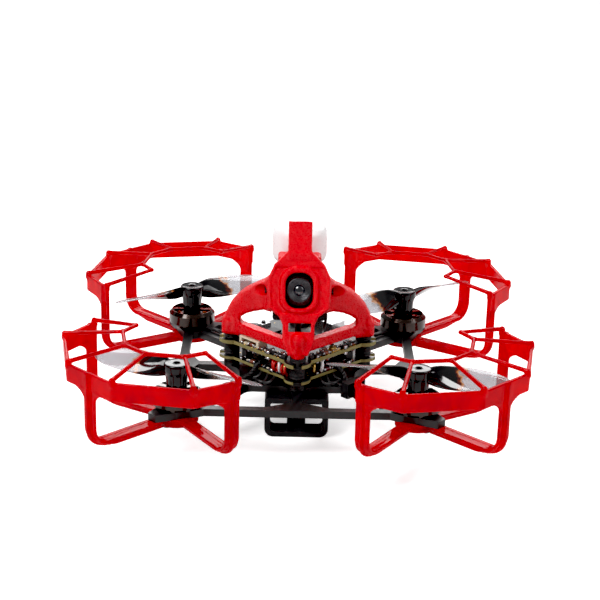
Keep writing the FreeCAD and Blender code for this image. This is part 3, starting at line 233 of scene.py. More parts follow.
def metal(name, dark, light, rough, grain=(1.0, 1.0, 14.0), metallic=1.0, edge=0.08, coat=0.0):
    """Metal with a directional grain, small stains and rounded edges."""
    s = Shader(name)
    lines = s.noise(1.6, 5.0, s.stretch(*grain))
    stains = s.noise(0.9, 4.0)
    color = s.mix(stains, dark, light)
    roughness = s.ramp(lines, ((0.3, max(0.03, rough - 0.08)), (0.7, rough + 0.1)))
    normal = s.bump(lines, 0.012, s.round_edges(edge))
    return s.done(s.surface(color, roughness, Metallic=metallic, Normal=normal, Coat_Weight=coat,
                            Coat_Roughness=0.05))


def windings():
    """Enamelled copper turns running round each tooth."""
    s = Shader("copper_wire")
    x, y, z = s.split()
    turns = s.math("SINE", s.math("MULTIPLY", z, 2 * math.pi / 0.24))
    height = s.scale_add(turns, 0.5, 0.5)
    # The colour follows the turns' height: darker in the grooves between turns, which is painted shade, and
    # brighter on their crests.
    color = s.mix(height, (0.42, 0.11, 0.025), (1.0, 0.42, 0.13))
    color = s.mix(s.noise(1.2, 3.0), color, (0.55, 0.16, 0.04))
    return s.done(s.surface(color, 0.24, Metallic=0.9, Normal=s.bump(height, 0.08)))


def circuit_board():
    """Black solder mask with faint tracks and gold vias on the faces, bare glass laminate on the edges."""
    s = Shader("circuit_board")
    turned = s.add("ShaderNodeVectorRotate", {0: s.mm, "Angle": math.radians(45)}, rotation_type="Z_AXIS")
    turned = turned.outputs[0]
    tracks = s.add("ShaderNodeTexBrick", {
        "Vector": turned, "Scale": 0.75, "Mortar Size": 0.035, "Brick Width": 1.7, "Row Height": 0.45,
        "Color1": (0, 0, 0, 1), "Color2": (0.35, 0.35, 0.35, 1), "Mortar": (1, 1, 1, 1),
    }).outputs["Color"]
    vias = s.add("ShaderNodeTexVoronoi", {"Vector": turned, "Scale": 0.7, "Randomness": 0.75})
    gold = s.math("LESS_THAN", vias.outputs["Distance"], 0.16)
    mask = s.mix(tracks, (0.008, 0.009, 0.011), (0.022, 0.026, 0.028))
    face = s.mix(gold, mask, (0.62, 0.42, 0.12))
    fibres = s.noise(3.0, 4.0, s.stretch(0.4, 0.4, 5.0))
    edge = s.ramp(fibres, ((0.3, (0.16, 0.13, 0.035)), (0.7, (0.36, 0.31, 0.12))))
    top = s.math("GREATER_THAN", s.facing_up(), 0.6)
    color = s.mix(top, edge, face)
    rough = s.math("SUBTRACT", 0.6, s.math("MULTIPLY", top, 0.32))
    normal = s.bump(s.math("ADD", tracks, gold), 0.02)
    metallic = s.math("MULTIPLY", gold, top)
    return s.done(s.surface(color, rough, Metallic=metallic, Normal=normal))


def epoxy():
    """Moulded chip packages with a fine sandy surface."""
    s = Shader("chip")
    grains = s.noise(9.0, 3.0)
    color = s.ramp(s.noise(0.6, 2.0), ((0.3, (0.012, 0.012, 0.013)), (0.7, (0.03, 0.03, 0.032))))
    return s.done(s.surface(color, 0.48, Normal=s.bump(grains, 0.02, s.round_edges(0.06))))


def ceramic():
    """Chip capacitors and resistors: maroon and black bodies in turn."""
    s = Shader("ceramic")
    patch = s.add("ShaderNodeTexVoronoi", {"Vector": s.mm, "Scale": 0.7}).outputs["Color"]
    pick = s.split(patch)[0]
    bodies = ((0.45, (0.012, 0.011, 0.012)), (0.5, (0.16, 0.012, 0.018)), (0.85, (0.22, 0.06, 0.03)))
    color = s.ramp(pick, bodies)
    return s.done(s.surface(color, 0.3, Normal=s.bump(s.noise(6.0, 3.0), 0.01, s.round_edges(0.04))))


def rubber():
    s = Shader("damper_rubber")
    dust = s.ramp(s.noise(1.5, 5.0), ((0.45, (0.010, 0.010, 0.011)), (0.8, (0.035, 0.035, 0.036))))
    rough = s.ramp(s.noise(3.0, 3.0), ((0.3, 0.42), (0.7, 0.62)))
    return s.done(s.surface(dust, rough, Normal=s.bump(s.noise(2.2, 3.0), 0.03, s.round_edges(0.12))))


def wire_coat(name, dark, light, rough=0.35):
    """Silicone insulation with a soft sheen and small scuffs."""
    s = Shader(name)
    scuffs = s.noise(1.3, 5.0)
    color = s.mix(scuffs, dark, light)
    roughness = s.ramp(scuffs, ((0.3, rough - 0.08), (0.7, rough + 0.14)))
    return s.done(s.surface(color, roughness, Normal=s.bump(s.noise(3.5, 2.0), 0.02)))


def satin_plastic(name, dark, light, rough, edge=0.1, glow=0.0):
    """Moulded plastic with a faint spark texture."""
    s = Shader(name)
    color = s.mix(s.noise(0.5, 4.0), dark, light)
    roughness = s.ramp(s.noise(2.0, 4.0), ((0.3, max(0.04, rough - 0.06)), (0.7, rough + 0.1)))
    normal = s.bump(s.noise(6.0, 2.0), 0.008, s.round_edges(edge))
    return s.done(s.surface(color, roughness, Normal=normal, Subsurface_Weight=glow,
                            Subsurface_Radius=(1, 1, 1), Subsurface_Scale=0.8 * MM))


def lens_glass():
    """Dark coated glass with a painted violet reflection towards its edge, where the surface is seen at a
    grazing angle.
    """
    s = Shader("lens_glass")
    rim = s.add("ShaderNodeLayerWeight", {"Blend": 0.35}).outputs["Facing"]
    # Painted reflection: the colour runs from near black face-on to violet at grazing angles.
    tint_and_painted_reflection = s.ramp(rim, ((0.0, (0.004, 0.005, 0.008)), (0.55, (0.02, 0.018, 0.05)), (1.0, (0.12, 0.08, 0.2))))
    smudge = s.ramp(s.noise(1.0, 4.0), ((0.4, 0.02), (0.8, 0.09)))
    return s.done(s.surface(tint_and_painted_reflection, smudge, Specular_IOR_Level=0.9, Coat_Weight=1.0, Coat_Roughness=0.01))


def propeller_plastic():
    """Smoke-tinted clear plastic: black at the thick root, then a ragged amber band that is a painted
    reflection of the red guards, then pale grey towards the tip that is a painted reflection of the softbox.
    """
    s = Shader("propeller_plastic")
    x, y, z = s.split()
    radius = s.math("SQRT", s.math("ADD", s.math("MULTIPLY", x, x), s.math("MULTIPLY", y, y)))
    ragged = s.math("MULTIPLY", s.math("SUBTRACT", s.noise(0.4, 5.0), 0.5), 9.0)
    reach = s.math("DIVIDE", s.math("ADD", radius, ragged), PROP_REACH)
    # Painted reflections along the blade: the amber band stands for the red guards mirrored in it, the pale
    # grey beyond for the softbox.
    tint_and_painted_reflection = s.ramp(reach, ((0.38, (0.003, 0.003, 0.004)), (0.42, (0.10, 0.012, 0.006)),
                          (0.45, (0.55, 0.22, 0.05)), (0.49, (0.34, 0.33, 0.33)), (0.95, (0.42, 0.42, 0.44))))
    streaks = s.ramp(s.noise(0.35, 3.0, s.stretch(0.5, 2.0, 1.0)), ((0.35, 0.05), (0.7, 0.14)))
    normal = s.bump(s.noise(0.3, 2.0), 0.05)
    gloss = s.ramp(reach, ((0.2, 0.15), (0.3, 1.0)))
    skin = s.surface(tint_and_painted_reflection, streaks, Normal=normal, Coat_Weight=gloss, Coat_Roughness=0.03,
                     Specular_IOR_Level=0.35)
    clear = s.add("ShaderNodeBsdfTransparent", {"Color": (0.74, 0.745, 0.77, 1)}).outputs[0]
    edge_on = s.add("ShaderNodeLayerWeight", {"Blend": 0.3}).outputs["Facing"]
    through = s.math("MULTIPLY", s.ramp(reach, ((0.42, 0.0), (0.5, 1.0))), 0.6)
    share = s.math("MULTIPLY", through, s.ramp(edge_on, ((0.35, 1.0), (0.95, 0.25))))
    return s.done(s.blend(share, skin, clear))


MATERIALS = {
    "carbon_plate": carbon(),
    "guard_plastic": guard_plastic(),
    "canopy_plastic": layered_plastic("canopy_plastic", (0.72, 0.0, 0.008), (0.94, 0.001, 0.008), 0.3,
                                      depth=0.06, glow=0.04),
    "tray_plastic": layered_plastic("tray_plastic", (0.006, 0.006, 0.007), (0.022, 0.022, 0.024), 0.4),
    "motor_alloy": metal("motor_alloy", (0.007, 0.004, 0.003), (0.045, 0.02, 0.012), 0.16,
                         metallic=0.7, coat=0.7),
    "stator_steel": metal("stator_steel", (0.05, 0.05, 0.055), (0.16, 0.16, 0.17), 0.35,
                          grain=(0.4, 0.4, 9.0)),
    "propeller_plastic": propeller_plastic(),
    "magnet": metal("magnet", (0.34, 0.33, 0.31), (0.56, 0.55, 0.52), 0.25),
    "screw_steel": metal("screw_steel", (0.05, 0.05, 0.055), (0.18, 0.18, 0.19), 0.28, grain=(8.0, 8.0, 1.0)),
    "copper_wire": windings(),
    "black_steel": metal("black_steel", (0.03, 0.03, 0.033), (0.075, 0.075, 0.08), 0.3,
                         grain=(6.0, 6.0, 1.0)),
    "circuit_board": circuit_board(),
    "chip": epoxy(),
    "damper_rubber": rubber(),
    "brass": metal("brass", (0.5, 0.3, 0.08), (0.8, 0.56, 0.2), 0.24, grain=(3.0, 3.0, 1.0)),
    "socket_steel": metal("socket_steel", (0.42, 0.42, 0.43), (0.68, 0.68, 0.7), 0.22, grain=(2.0, 9.0, 2.0)),
    "socket_plastic": satin_plastic("socket_plastic", (0.66, 0.56, 0.40), (0.84, 0.76, 0.6), 0.42),
    "black_wire": wire_coat("black_wire", (0.006, 0.006, 0.007), (0.03, 0.03, 0.032)),
    "red_wire": wire_coat("red_wire", (0.42, 0.01, 0.008), (0.72, 0.02, 0.015)),
    "camera_plastic": satin_plastic("camera_plastic", (0.006, 0.006, 0.007), (0.02, 0.02, 0.022), 0.3),
    "lens_glass": lens_glass(),
    "antenna_plastic": satin_plastic("antenna_plastic", (0.93, 0.91, 0.91), (0.98, 0.97, 0.97), 0.3,
                                     glow=0.25),
}


SMALL_PART_FINISH = ceramic()


def dress(item, slot):
    """Gives a piece the finish of a material slot."""
    item.data.materials.clear()
    item.data.materials.append(MATERIALS[slot])


# ---- solids from distance fields


class Field:
    """A signed distance field on a regular grid, built up by adding and taking away rounded solids."""

    def __init__(self, low, high, step):
        self.low, self.step = np.array(low, np.float32), step
        counts = [int(round((b - a) / step)) + 1 for a, b in zip(low, high)]
        steps = [np.float32(step) * np.arange(n, dtype=np.float32) for n in counts]
        self.axes = [np.float32(a) + along for a, along in zip(low, steps)]
        self.value = np.full(counts, FAR, np.float32)

    def part(self, solid, margin):
        """The grid cells round a solid and its distance there."""
        spans = []
        for axis, a, b in zip(self.axes, solid.low, solid.high):
            start, stop = np.searchsorted(axis, (a - margin, b + margin))
            spans.append(slice(int(start), int(stop)))
        x, y, z = (axis[span] for axis, span in zip(self.axes, spans))
        return tuple(spans), solid.distance(x[:, None, None], y[None, :, None], z[None, None, :])

    def add(self, solid, blend):
        spans, distance = self.part(solid, 4 * self.step + blend)
        self.value[spans] = smooth_min(self.value[spans], distance, blend)

    def take(self, solid, blend):
        spans, distance = self.part(solid, 4 * self.step + blend)
        self.value[spans] = -smooth_min(-self.value[spans], distance, blend)

    def roughen(self, depth, scale):
        """Moves the surface in and out by a smooth irregular amount."""
        x, y, z = (axis / scale for axis in self.axes)
        x, y, z = x[:, None, None], y[None, :, None], z[None, None, :]
        wave = np.sin(2.1 * x + 1.3 * y + 0.4) * np.sin(1.7 * z - 0.9 * x + 1.1)
        wave = wave + np.sin(2.9 * y - 1.1 * z) * np.sin(3.3 * x + 2.3 * z + 0.7)
        self.value += np.float32(0.5 * depth) * wave.astype(np.float32)

    def piece(self, name):
        """The mesh of the zero surface."""
        band = 3 * self.step
        grid = openvdb.FloatGrid(band)
        grid.copyFromArray(np.clip(self.value, -band, band))
        points, triangles, quads = grid.convertToPolygons(isovalue=0.0, adaptivity=0.0)
        points = (points * self.step + self.low) * MM
        faces = [face[::-1] for face in triangles.tolist()] + [face[::-1] for face in quads.tolist()]
        return mesh_piece(name, points, faces)


def smooth_min(a, b, blend):
    h = np.maximum(blend - np.abs(a - b), 0) / blend
    return np.minimum(a, b) - h * h * np.float32(blend / 4)


class Solid:
    """A distance function in millimetres and the box it lies in."""

    def __init__(self, distance, low, high):
        self.distance, self.low, self.high = distance, low, high


def turn_about(axis, degrees):
    return np.array(Matrix.Rotation(math.radians(degrees), 3, axis), float)


def box_of(points, margin):
    points = np.array(points, float)
    return points.min(0) - margin, points.max(0) + margin


def capsule(start, end, radius, end_radius=None):
    """A round rod between two points, tapering if it has a second radius."""
    a, b = np.array(start, float), np.array(end, float)
    end_radius = radius if end_radius is None else end_radius
    way = b - a
    length = float(way @ way)

    def distance(x, y, z):
        t = ((x - a[0]) * way[0] + (y - a[1]) * way[1] + (z - a[2]) * way[2]) / max(length, 1e-9)
        t = np.clip(t, 0, 1)
        dx, dy, dz = x - a[0] - t * way[0], y - a[1] - t * way[1], z - a[2] - t * way[2]
        gap = np.sqrt(dx ** 2 + dy ** 2 + dz ** 2)
        return (gap - radius - t * (end_radius - radius)).astype(np.float32)

    return Solid(distance, *box_of([a, b], max(radius, end_radius)))


def rounded(flat, thick, edge):
    """The distance to a solid with rounded edges, from those to its outline and through its thickness."""
    flat, thick = flat + edge, thick + edge
    outside = np.sqrt(np.maximum(flat, 0) ** 2 + np.maximum(thick, 0) ** 2)
    return (np.minimum(np.maximum(flat, thick), 0) + outside - edge).astype(np.float32)


def block(size, centre, edge, turn=None):
    """A box with rounded edges; turn is a 3 x 3 rotation."""
    half = np.array(size, float) / 2
    middle = np.array(centre, float)
    turn = np.eye(3) if turn is None else turn

    def distance(x, y, z):
        x, y, z = x - middle[0], y - middle[1], z - middle[2]
        a, b, c = (turn[0][i] * x + turn[1][i] * y + turn[2][i] * z for i in range(3))
        a, b = np.abs(a) - half[0], np.abs(b) - half[1]
        flat = np.minimum(np.maximum(a, b), 0) + np.sqrt(np.maximum(a, 0) ** 2 + np.maximum(b, 0) ** 2)
        return rounded(flat, np.abs(c) - half[2], edge)

    corners = [middle + turn @ (half * (i, j, k)) for i in (-1, 1) for j in (-1, 1) for k in (-1, 1)]
    return Solid(distance, *box_of(corners, 0.1))


def drum(radius, low, high, x0, y0, edge):
    """An upright cylinder with rounded edges."""
    middle, half = (low + high) / 2, (high - low) / 2

    def distance(x, y, z):
        flat = np.sqrt((x - x0) ** 2 + (y - y0) ** 2) - radius
        return rounded(flat + 0 * z, np.abs(z - middle) - half + 0 * x + 0 * y, edge)

    return Solid(distance, *box_of([(x0 - radius, y0 - radius, low), (x0 + radius, y0 + radius, high)], 0.1))


def outline_distance(p, q, corners):
    """The signed distance in the plane to a closed outline."""
    nearest, sign = None, None
    corners = list(corners)
    for (ax, ay), (bx, by) in zip(corners, corners[-1:] + corners[:-1]):
        ex, ey = bx - ax, by - ay
        wx, wy = p - ax, q - ay
        t = np.clip((wx * ex + wy * ey) / (ex * ex + ey * ey), 0, 1)
        gap = (wx - ex * t) ** 2 + (wy - ey * t) ** 2
        above, below, left = q >= ay, q < by, ex * wy > ey * wx
        crossed = (above & below & left) | (~above & ~below & ~left)
        nearest = gap if nearest is None else np.minimum(nearest, gap)
        sign = np.where(crossed, -1, 1) * (1 if sign is None else sign)
    return sign * np.sqrt(nearest)


def face_axes(y, z):
    """Distances up and outward from the foot of the canopy's leaning face."""
    y, z = y - FACE_FOOT[1], z - FACE_FOOT[2]
    up = y * math.sin(FACE_TILT) + z * math.cos(FACE_TILT)
    out = -y * math.cos(FACE_TILT) + z * math.sin(FACE_TILT)
    return up, out


def face_point(across, up, out):
    """The place of a point given in the leaning face's own distances."""
    y = FACE_FOOT[1] + up * math.sin(FACE_TILT) - out * math.cos(FACE_TILT)
    z = FACE_FOOT[2] + up * math.cos(FACE_TILT) + out * math.sin(FACE_TILT)
    return across, y, z


def face_prism(corners, back, front, edge, corner=0.0):
    """An outline on the leaning face, from the distance back to the distance front, with rounded edges."""
    middle, half = (back + front) / 2, (front - back) / 2

    def distance(x, y, z):
        up, out = face_axes(y, z)
        flat = outline_distance(x, up, corners) - corner
        return rounded(flat, np.abs(out - middle) - half, edge)

    ends = [face_point(a, u, n) for a, u in corners for n in (back, front)]
    return Solid(distance, *box_of(ends, corner + 0.1))


def mirrored(half):
    """Completes an outline from its right half, listed from the bottom to the top."""
    return list(half) + [(-x, y) for x, y in reversed(half)]


def window_outline(half_width, low, high, corner):
    """A rectangle drawn smaller by its corner radius, to be rounded outwards again."""
    x = half_width - corner
    return [(x, low + corner), (x, high - corner), (-x, high - corner), (-x, low + corner)]


# ---- mesh helpers


def linked(name, data):
    """A new object in the scene's collection."""
    item = bpy.data.objects.new(name, data)
    bpy.context.scene.collection.objects.link(item)
    return item


def mesh_piece(name, points, faces, smooth=True):
    mesh = bpy.data.meshes.new(name)
    points = np.asarray(points, np.float32)
    sizes = np.fromiter((len(face) for face in faces), np.int32, len(faces))
    corners = np.fromiter((i for face in faces for i in face), np.int32, int(sizes.sum()))
    mesh.vertices.add(len(points))
    mesh.vertices.foreach_set("co", points.ravel())
    mesh.loops.add(len(corners))
    mesh.loops.foreach_set("vertex_index", corners)
    mesh.polygons.add(len(faces))
    mesh.polygons.foreach_set("loop_start", np.concatenate(([0], np.cumsum(sizes)[:-1])).astype(np.int32))
    mesh.update(calc_edges=True)
    mesh.validate()
    if smooth:
        mesh.polygons.foreach_set("use_smooth", np.ones(len(faces), bool))
    return linked(name, mesh)


def settle(item, body, slot, *nodes):
    """Finishes a piece: its material, the body it rides on and the CAD nodes it stands for."""
    dress(item, slot)
    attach(item, body)
    if nodes:
        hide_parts(*nodes)


# ---- canopy

# Outlines on the leaning face, (across, up), for the right half from the bottom to the top.
HEAD_OUTLINE = (
    (2.6, -1.6), (4.2, 2.0), (4.2, 6.4), (5.2, 8.6), (8.0, 10.8), (8.3, 18.6), (6.6, 22.4), (3.4, 25.6),
)
HOOD_OUTLINE = ((5.6, 9.0), (8.3, 10.8), (8.3, 18.6), (6.6, 22.4), (3.4, 25.6))
CAMERA_BAY = ((7.2, 6.0), (7.2, 19.0), (5.5, 22.0))
HOOD_DEPTH = 11.4
MAST_OUTLINE = ((3.1, 23.6), (3.1, 33.7), (-3.1, 33.7), (-3.1, 23.6))
SLOT_OUTLINE = ((3.1, 4.8), (3.1, 6.8), (-2.5, 6.8), (-2.5, 4.8))
# Silhouette of the right arm from the front, (x, z), from its foot up the outside and down the inside.
ARM_OUTLINE = (
    (16.1, 11.4), (20.5, 11.4), (20.5, 13.4), (20.3, 15.2), (19.6, 17.4), (18.2, 20.2), (16.3, 23.0),
    (14.1, 25.4), (11.3, 27.5), (8.4, 29.3), (5.0, 29.3), (5.0, 20.6), (7.2, 20.6), (9.3, 20.5),
    (12.0, 19.5), (14.1, 18.3), (15.5, 17.0), (16.0, 15.2),
)
# Distance in front of the centre of the arm's middle, along x.
ARM_SWEEP_X = (6.0, 7.8, 9.6, 12.6, 15.6, 17.4, 18.4)
ARM_SWEEP_Y = (-8.0, -7.4, -6.4, -4.6, -2.4, -0.6, 0.0)
ARM_HALF_THICK = 2.15
FOOT_LOW, FOOT_TOP = 11.4, 15.4
FOOT_RADIUS, FRONT_FOOT_RADIUS = 2.5, 2.1
ANTENNA_Y = 8.0
STRUT_FOOT = (0, 16.9, 13.6)
STRUT_LENGTH = 16.4
STRUT_LEAN = 26


def canopy_arm():
    """Both arms at once: the silhouette given a thickness that sweeps back towards the feet."""
    def distance(x, y, z):
        across = np.abs(x)
        middle = np.interp(across, ARM_SWEEP_X, ARM_SWEEP_Y)
        flat = outline_distance(across, z, ARM_OUTLINE)
        return rounded(flat + 0 * y, np.abs(y - middle) - ARM_HALF_THICK + 0 * z, 1.3)

    return Solid(distance, np.array((-20.6, -10.6, 11.3)), np.array((20.6, 2.5, 29.5)))


def camera_axis_point(x):
    return face_point(x, LENS_UP, -LENS_BACK)


def add_canopy_base(field):
    """The four feet and the two bars that run from the side feet to the front one."""
    for x, y in POSTS:
        field.add(drum(FRONT_FOOT_RADIUS if y < 0 else FOOT_RADIUS, FOOT_LOW, FOOT_TOP, x, y, 0.5), 0.2)
    for side in (1, -1):
        bar = block((24.6, 3.0, 2.9), (side * 8.85, -8.85, 13.55), 0.55, turn_about("Z", side * 45))
        field.add(bar, 0.9)


def add_canopy_head(field):
    """The leaning face, the hood behind it, the arms, the nose, the lip round the window and the mast."""
    field.add(face_prism(mirrored(HEAD_OUTLINE), -1.8, 0.0, 0.5), 0.5)
    field.add(face_prism(mirrored(HOOD_OUTLINE), -HOOD_DEPTH, -0.9, 0.5), 0.3)
    field.add(canopy_arm(), 1.6)
    field.add(capsule((0, -18.9, 11.0), (0, -19.1, 16.3), 1.7, 1.95), 0.5)
    field.take(face_prism(mirrored(HEAD_OUTLINE[3:7]), -0.35, 2.0, 0.1, -0.9), 0.5)
    field.add(face_prism(window_outline(5.1, 9.5, 21.7, 4.2), -1.0, 0.55, 0.5, 4.2), 0.6)
    field.add(face_prism(MAST_OUTLINE, -2.9, 0.0, 0.22), 0.6)


def add_canopy_back(field):
    """The top of the hood, the antenna's shelf and the strut down to the rear foot."""
    field.add(block((7.0, 9.0, 3.0), (0, -4.2, 33.1), 0.4), 0.5)
    field.add(block((11.6, 5.0, 6.4), (0, -2.4, 31.6), 0.8), 0.5)
    field.add(drum(4.6, 27.8, 29.55, 0, ANTENNA_Y, 0.3), 0.4)
    field.add(block((7.0, 9.0, 1.8), (0, 3.6, 28.7), 0.3), 0.6)
    lean = turn_about("X", STRUT_LEAN)
    middle = np.array(STRUT_FOOT) + lean @ np.array((0, 1.3, STRUT_LENGTH / 2))
    field.add(block((5.0, 2.6, STRUT_LENGTH), middle, 0.5, lean), 0.7)


def cut_canopy(field):
    """The camera's bay and window, the slot below it, the screw ways and the antenna's hole."""
    field.take(face_prism(mirrored(CAMERA_BAY), -24.0, -1.8, 0.05), 0.15)
    field.take(block((60, 60, 6), (0, 0, FOOT_LOW - 3.02), 0.05), 0.1)
    field.take(face_prism(window_outline(3.65, 10.8, 20.2, 3.0), -3.2, 2.0, 0.05, 3.0), 0.5)
    field.take(face_prism(SLOT_OUTLINE, -6.0, 3.0, 0.05, 0.15), 0.35)
    for side in (1, -1):
        field.take(capsule(camera_axis_point(side * 8.9), camera_axis_point(side * 12.4), 1.4), 0.3)
        field.take(capsule(camera_axis_point(side * 6.6), camera_axis_point(side * 9.6), 0.56), 0.1)
    for x, y in POSTS:
        field.take(drum(1.32, FOOT_LOW - 1, FOOT_TOP - 1, x, y, 0.05), 0.1)
    field.take(drum(0.9, 25.0, 31.0, 0, ANTENNA_Y, 0.05), 0.1)


def make_canopy():
    step = 0.2
    field = Field((-21.4, -22.6, 10.8), (21.4, 22.0, 46.0), step)
    add_canopy_base(field)
    add_canopy_head(field)
    add_canopy_back(field)
    field.roughen(0.07, 1.0)
    cut_canopy(field)
    settle(field.piece("canopy_shell"), "airframe", "canopy_plastic", "canopy")


# ---- prop guards

# Distances from the motor's axis; the corners are shares of the apothem, or millimetres for the web.
GUARD_APOTHEM = 28.5
WALL_CORNERS = ((0.821, -0.593), (1.049, -0.218), (0.923, 0.491))
WALL_MIDDLE = 0.9825
WALL_HALF_THICK = 0.5
WEB_CORNERS = ((11.0, -7.95), (14.0, -3.0), (12.4, 6.9))
WEB_HEIGHT = 21.0
LEG_ANGLES = (-32.5, 45.0, 122.5)
DIAGONAL = 45.0
LEG_HALF_WIDTH = 1.95
LEG_START = 3.0
LEG_BEND = 4.5
FLARE_WIDTH, FLARE_HEIGHT = 3.0, 2.6
RIM_LOW, RIM_TOP = 13.8, 18.6
HUB_RADIUS = 5.6
SCREW_CIRCLE = 3.3


def across_diagonal(half):
    """Completes a path that is symmetrical about the guard's diagonal."""
    return list(half) + [(y, x) for x, y in reversed(half)]


def guard_rim():
    """The upright band round the outside, with rounded edges."""
    reach = GUARD_APOTHEM * WALL_MIDDLE
    path = [(reach * x, reach * y) for x, y in across_diagonal(WALL_CORNERS)]
    middle, half = (RIM_LOW + RIM_TOP) / 2, (RIM_TOP - RIM_LOW) / 2

    def distance(x, y, z):
        flat = None
        for (ax, ay), (bx, by) in zip(path, path[1:]):
            ex, ey = bx - ax, by - ay
            t = np.clip(((x - ax) * ex + (y - ay) * ey) / (ex * ex + ey * ey), 0, 1)
            gap = np.sqrt((x - ax - t * ex) ** 2 + (y - ay - t * ey) ** 2)
            flat = gap if flat is None else np.minimum(flat, gap)
        return rounded(flat - WALL_HALF_THICK, np.abs(z - middle) - half, 0.22)

    return Solid(distance, *box_of([(x, y, z) for x, y in path for z in (RIM_LOW, RIM_TOP)], 0.6))


def leg_path(r, z, out, low):
    """Distance in a leg's own plane to its middle line: down the wall, round the bend and in to the hub."""
    bend = LEG_BEND + low
    cx, cz = out - bend, -0.5 - low + bend
    upright = np.sqrt((r - out) ** 2 + (z - np.clip(z, cz, RIM_TOP - 0.7)) ** 2)
    level = np.sqrt((z + 0.5 + low) ** 2 + (r - np.clip(r, LEG_START, cx)) ** 2)
    round_part = np.abs(np.sqrt((r - cx) ** 2 + (z - cz) ** 2) - bend)
    corner = (r > cx) & (z < cz)
    return np.where(corner, round_part, np.minimum(upright, level))


def guard_leg(angle):
    """A flat leg that widens at the rim, with a rib outside that becomes a spoke under the plate."""
    c, s = math.cos(math.radians(angle)), math.sin(math.radians(angle))
    wall_side = math.copysign(1, DIAGONAL - angle) if angle != DIAGONAL else 0

    def flange(x, y, z):
        r, t = c * x + s * y, c * y - s * x
        rise = np.clip((z - RIM_LOW + FLARE_HEIGHT) / FLARE_HEIGHT, 0, 1)
        flare = FLARE_WIDTH * rise ** 2 * (z < RIM_LOW + 0.6) * (t * wall_side >= 0)
        flat = leg_path(r, z, GUARD_APOTHEM - WALL_HALF_THICK, 0.0) - 0.5
        return rounded(flat, np.abs(t) - LEG_HALF_WIDTH - flare, 0.2)

    def rib(x, y, z):
        r, t = c * x + s * y, np.abs(c * y - s * x)
        deep = 0.9 * np.clip((25.0 - r) / 5.0, 0, 1)
        flat = leg_path(r, z + deep * 0.5, GUARD_APOTHEM - 0.05, 0.35) - 0.85 - deep * 0.5
        return rounded(flat, t - 0.45 + 0 * z, 0.12)

    ends = [(c * r, s * r, z) for r in (LEG_START, GUARD_APOTHEM + 1) for z in (-2.9, RIM_TOP)]
    low, high = box_of(ends, 4.6)
    return [Solid(flange, low, high), Solid(rib, low, high)]


def add_guard_web(field):
    """The thin rods above the rim: a pin at each corner, an inner ring and the rods between."""
    reach = GUARD_APOTHEM - WALL_HALF_THICK
    outer = [(x * reach, y * reach) for x, y in across_diagonal(WALL_CORNERS)]
    ring = across_diagonal(WEB_CORNERS)
    for x, y in outer:
        field.add(capsule((x, y, RIM_TOP - 0.6), (x, y, RIM_TOP + 0.35), 0.85, 0.72), 0.5)
    for (ax, ay), (bx, by) in zip(outer, ring):
        field.add(capsule((ax, ay, RIM_TOP + 0.45), (bx, by, WEB_HEIGHT), 0.62, 0.5), 0.4)
    for (ax, ay), (bx, by) in zip(ring, ring[1:]):
        field.add(capsule((ax, ay, WEB_HEIGHT), (bx, by, WEB_HEIGHT), 0.55), 0.4)


def cut_guard_hub(field):
    """The motor's bore and the three counterbored screw holes."""
    field.take(drum(2.1, -4.0, 1.0, 0, 0, 0.05), 0.15)
    for i in range(3):
        angle = math.radians(DIAGONAL + 120 * i)
        x, y = SCREW_CIRCLE * math.cos(angle), SCREW_CIRCLE * math.sin(angle)
        field.take(drum(0.8, -4.0, 1.0, x, y, 0.05), 0.1)
        field.take(drum(1.5, -4.0, -2.0, x, y, 0.05), 0.1)


def guard_shape():
    step = 0.25
    field = Field((-18.6, -18.6, -3.6), (31.8, 31.8, 22.4), step)
    field.add(guard_rim(), 0.1)
    for angle in LEG_ANGLES:
        flange, rib = guard_leg(angle)
        field.add(flange, 0.4)
        field.add(rib, 0.25)
    field.add(drum(HUB_RADIUS, -2.0, -0.02, 0, 0, 0.25), 0.6)
    add_guard_web(field)
    cut_guard_hub(field)
    return field.piece("guard_shape")


def make_guards():
    """Four copies of one guard, each turned so that its wall faces out of its own corner."""
    first = guard_shape()
    for corner, (side_x, side_y) in CORNERS.items():
        item = first if corner == "front_right" else linked("guard_copy", first.data)
        item.name = f"guard_{corner}"
        item.location = (side_x * MOTOR_OFFSET * MM, side_y * MOTOR_OFFSET * MM, 0)
        item.rotation_euler = (0, 0, math.radians(CORNER_TURNS[corner]))
        settle(item, "airframe", "guard_plastic", f"prop_guard_{corner}")


# ---- turned, swept and boxed pieces


def turned_mesh(mesh, degrees):
    """Points and faces turned about the upright axis."""
    points, faces = mesh
    spin = Matrix.Rotation(math.radians(degrees), 3, "Z")
    return [spin @ Vector(p) for p in points], faces


def moved_mesh(mesh, x, y):
    """Points and faces moved sideways, in millimetres."""
    points, faces = mesh
    return [Vector(p) + Vector((x, y, 0)) * MM for p in points], faces


def ring_faces(low, high, count):
    """The faces between two rings of points, given the number of each ring's first point."""
    return [(low + i, low + (i + 1) % count, high + (i + 1) % count, high + i) for i in range(count)]


def lathe_mesh(outline, segments, flute=None):
    """A ring turned from a closed (radius, height) outline; flute changes a radius round the axis."""
    points, faces = [], []
    for radius, height in outline:
        for i in range(segments):
            angle = 2 * math.pi * i / segments
            here = radius + (flute(radius, height, angle) if flute else 0.0)
            points.append((here * math.cos(angle) * MM, here * math.sin(angle) * MM, height * MM))
    for ring in range(len(outline)):
        faces += ring_faces(ring * segments, (ring + 1) % len(outline) * segments, segments)
    return points, faces


def rounded_outline(corners, radius, steps):
    """Cuts each corner of a closed outline with a small arc."""
    result = []
    for i, corner in enumerate(corners):
        here = Vector(corner)
        before = Vector(corners[i - 1]) - here
        after = Vector(corners[(i + 1) % len(corners)]) - here
        cut = min(radius, 0.45 * before.length, 0.45 * after.length)
        start, end = here + before.normalized() * cut, here + after.normalized() * cut
        for step in range(steps + 1):
            t = step / steps
            point = start * (1 - t) ** 2 + here * 2 * t * (1 - t) + end * t * t
            result.append((point.x, point.y))
    return result


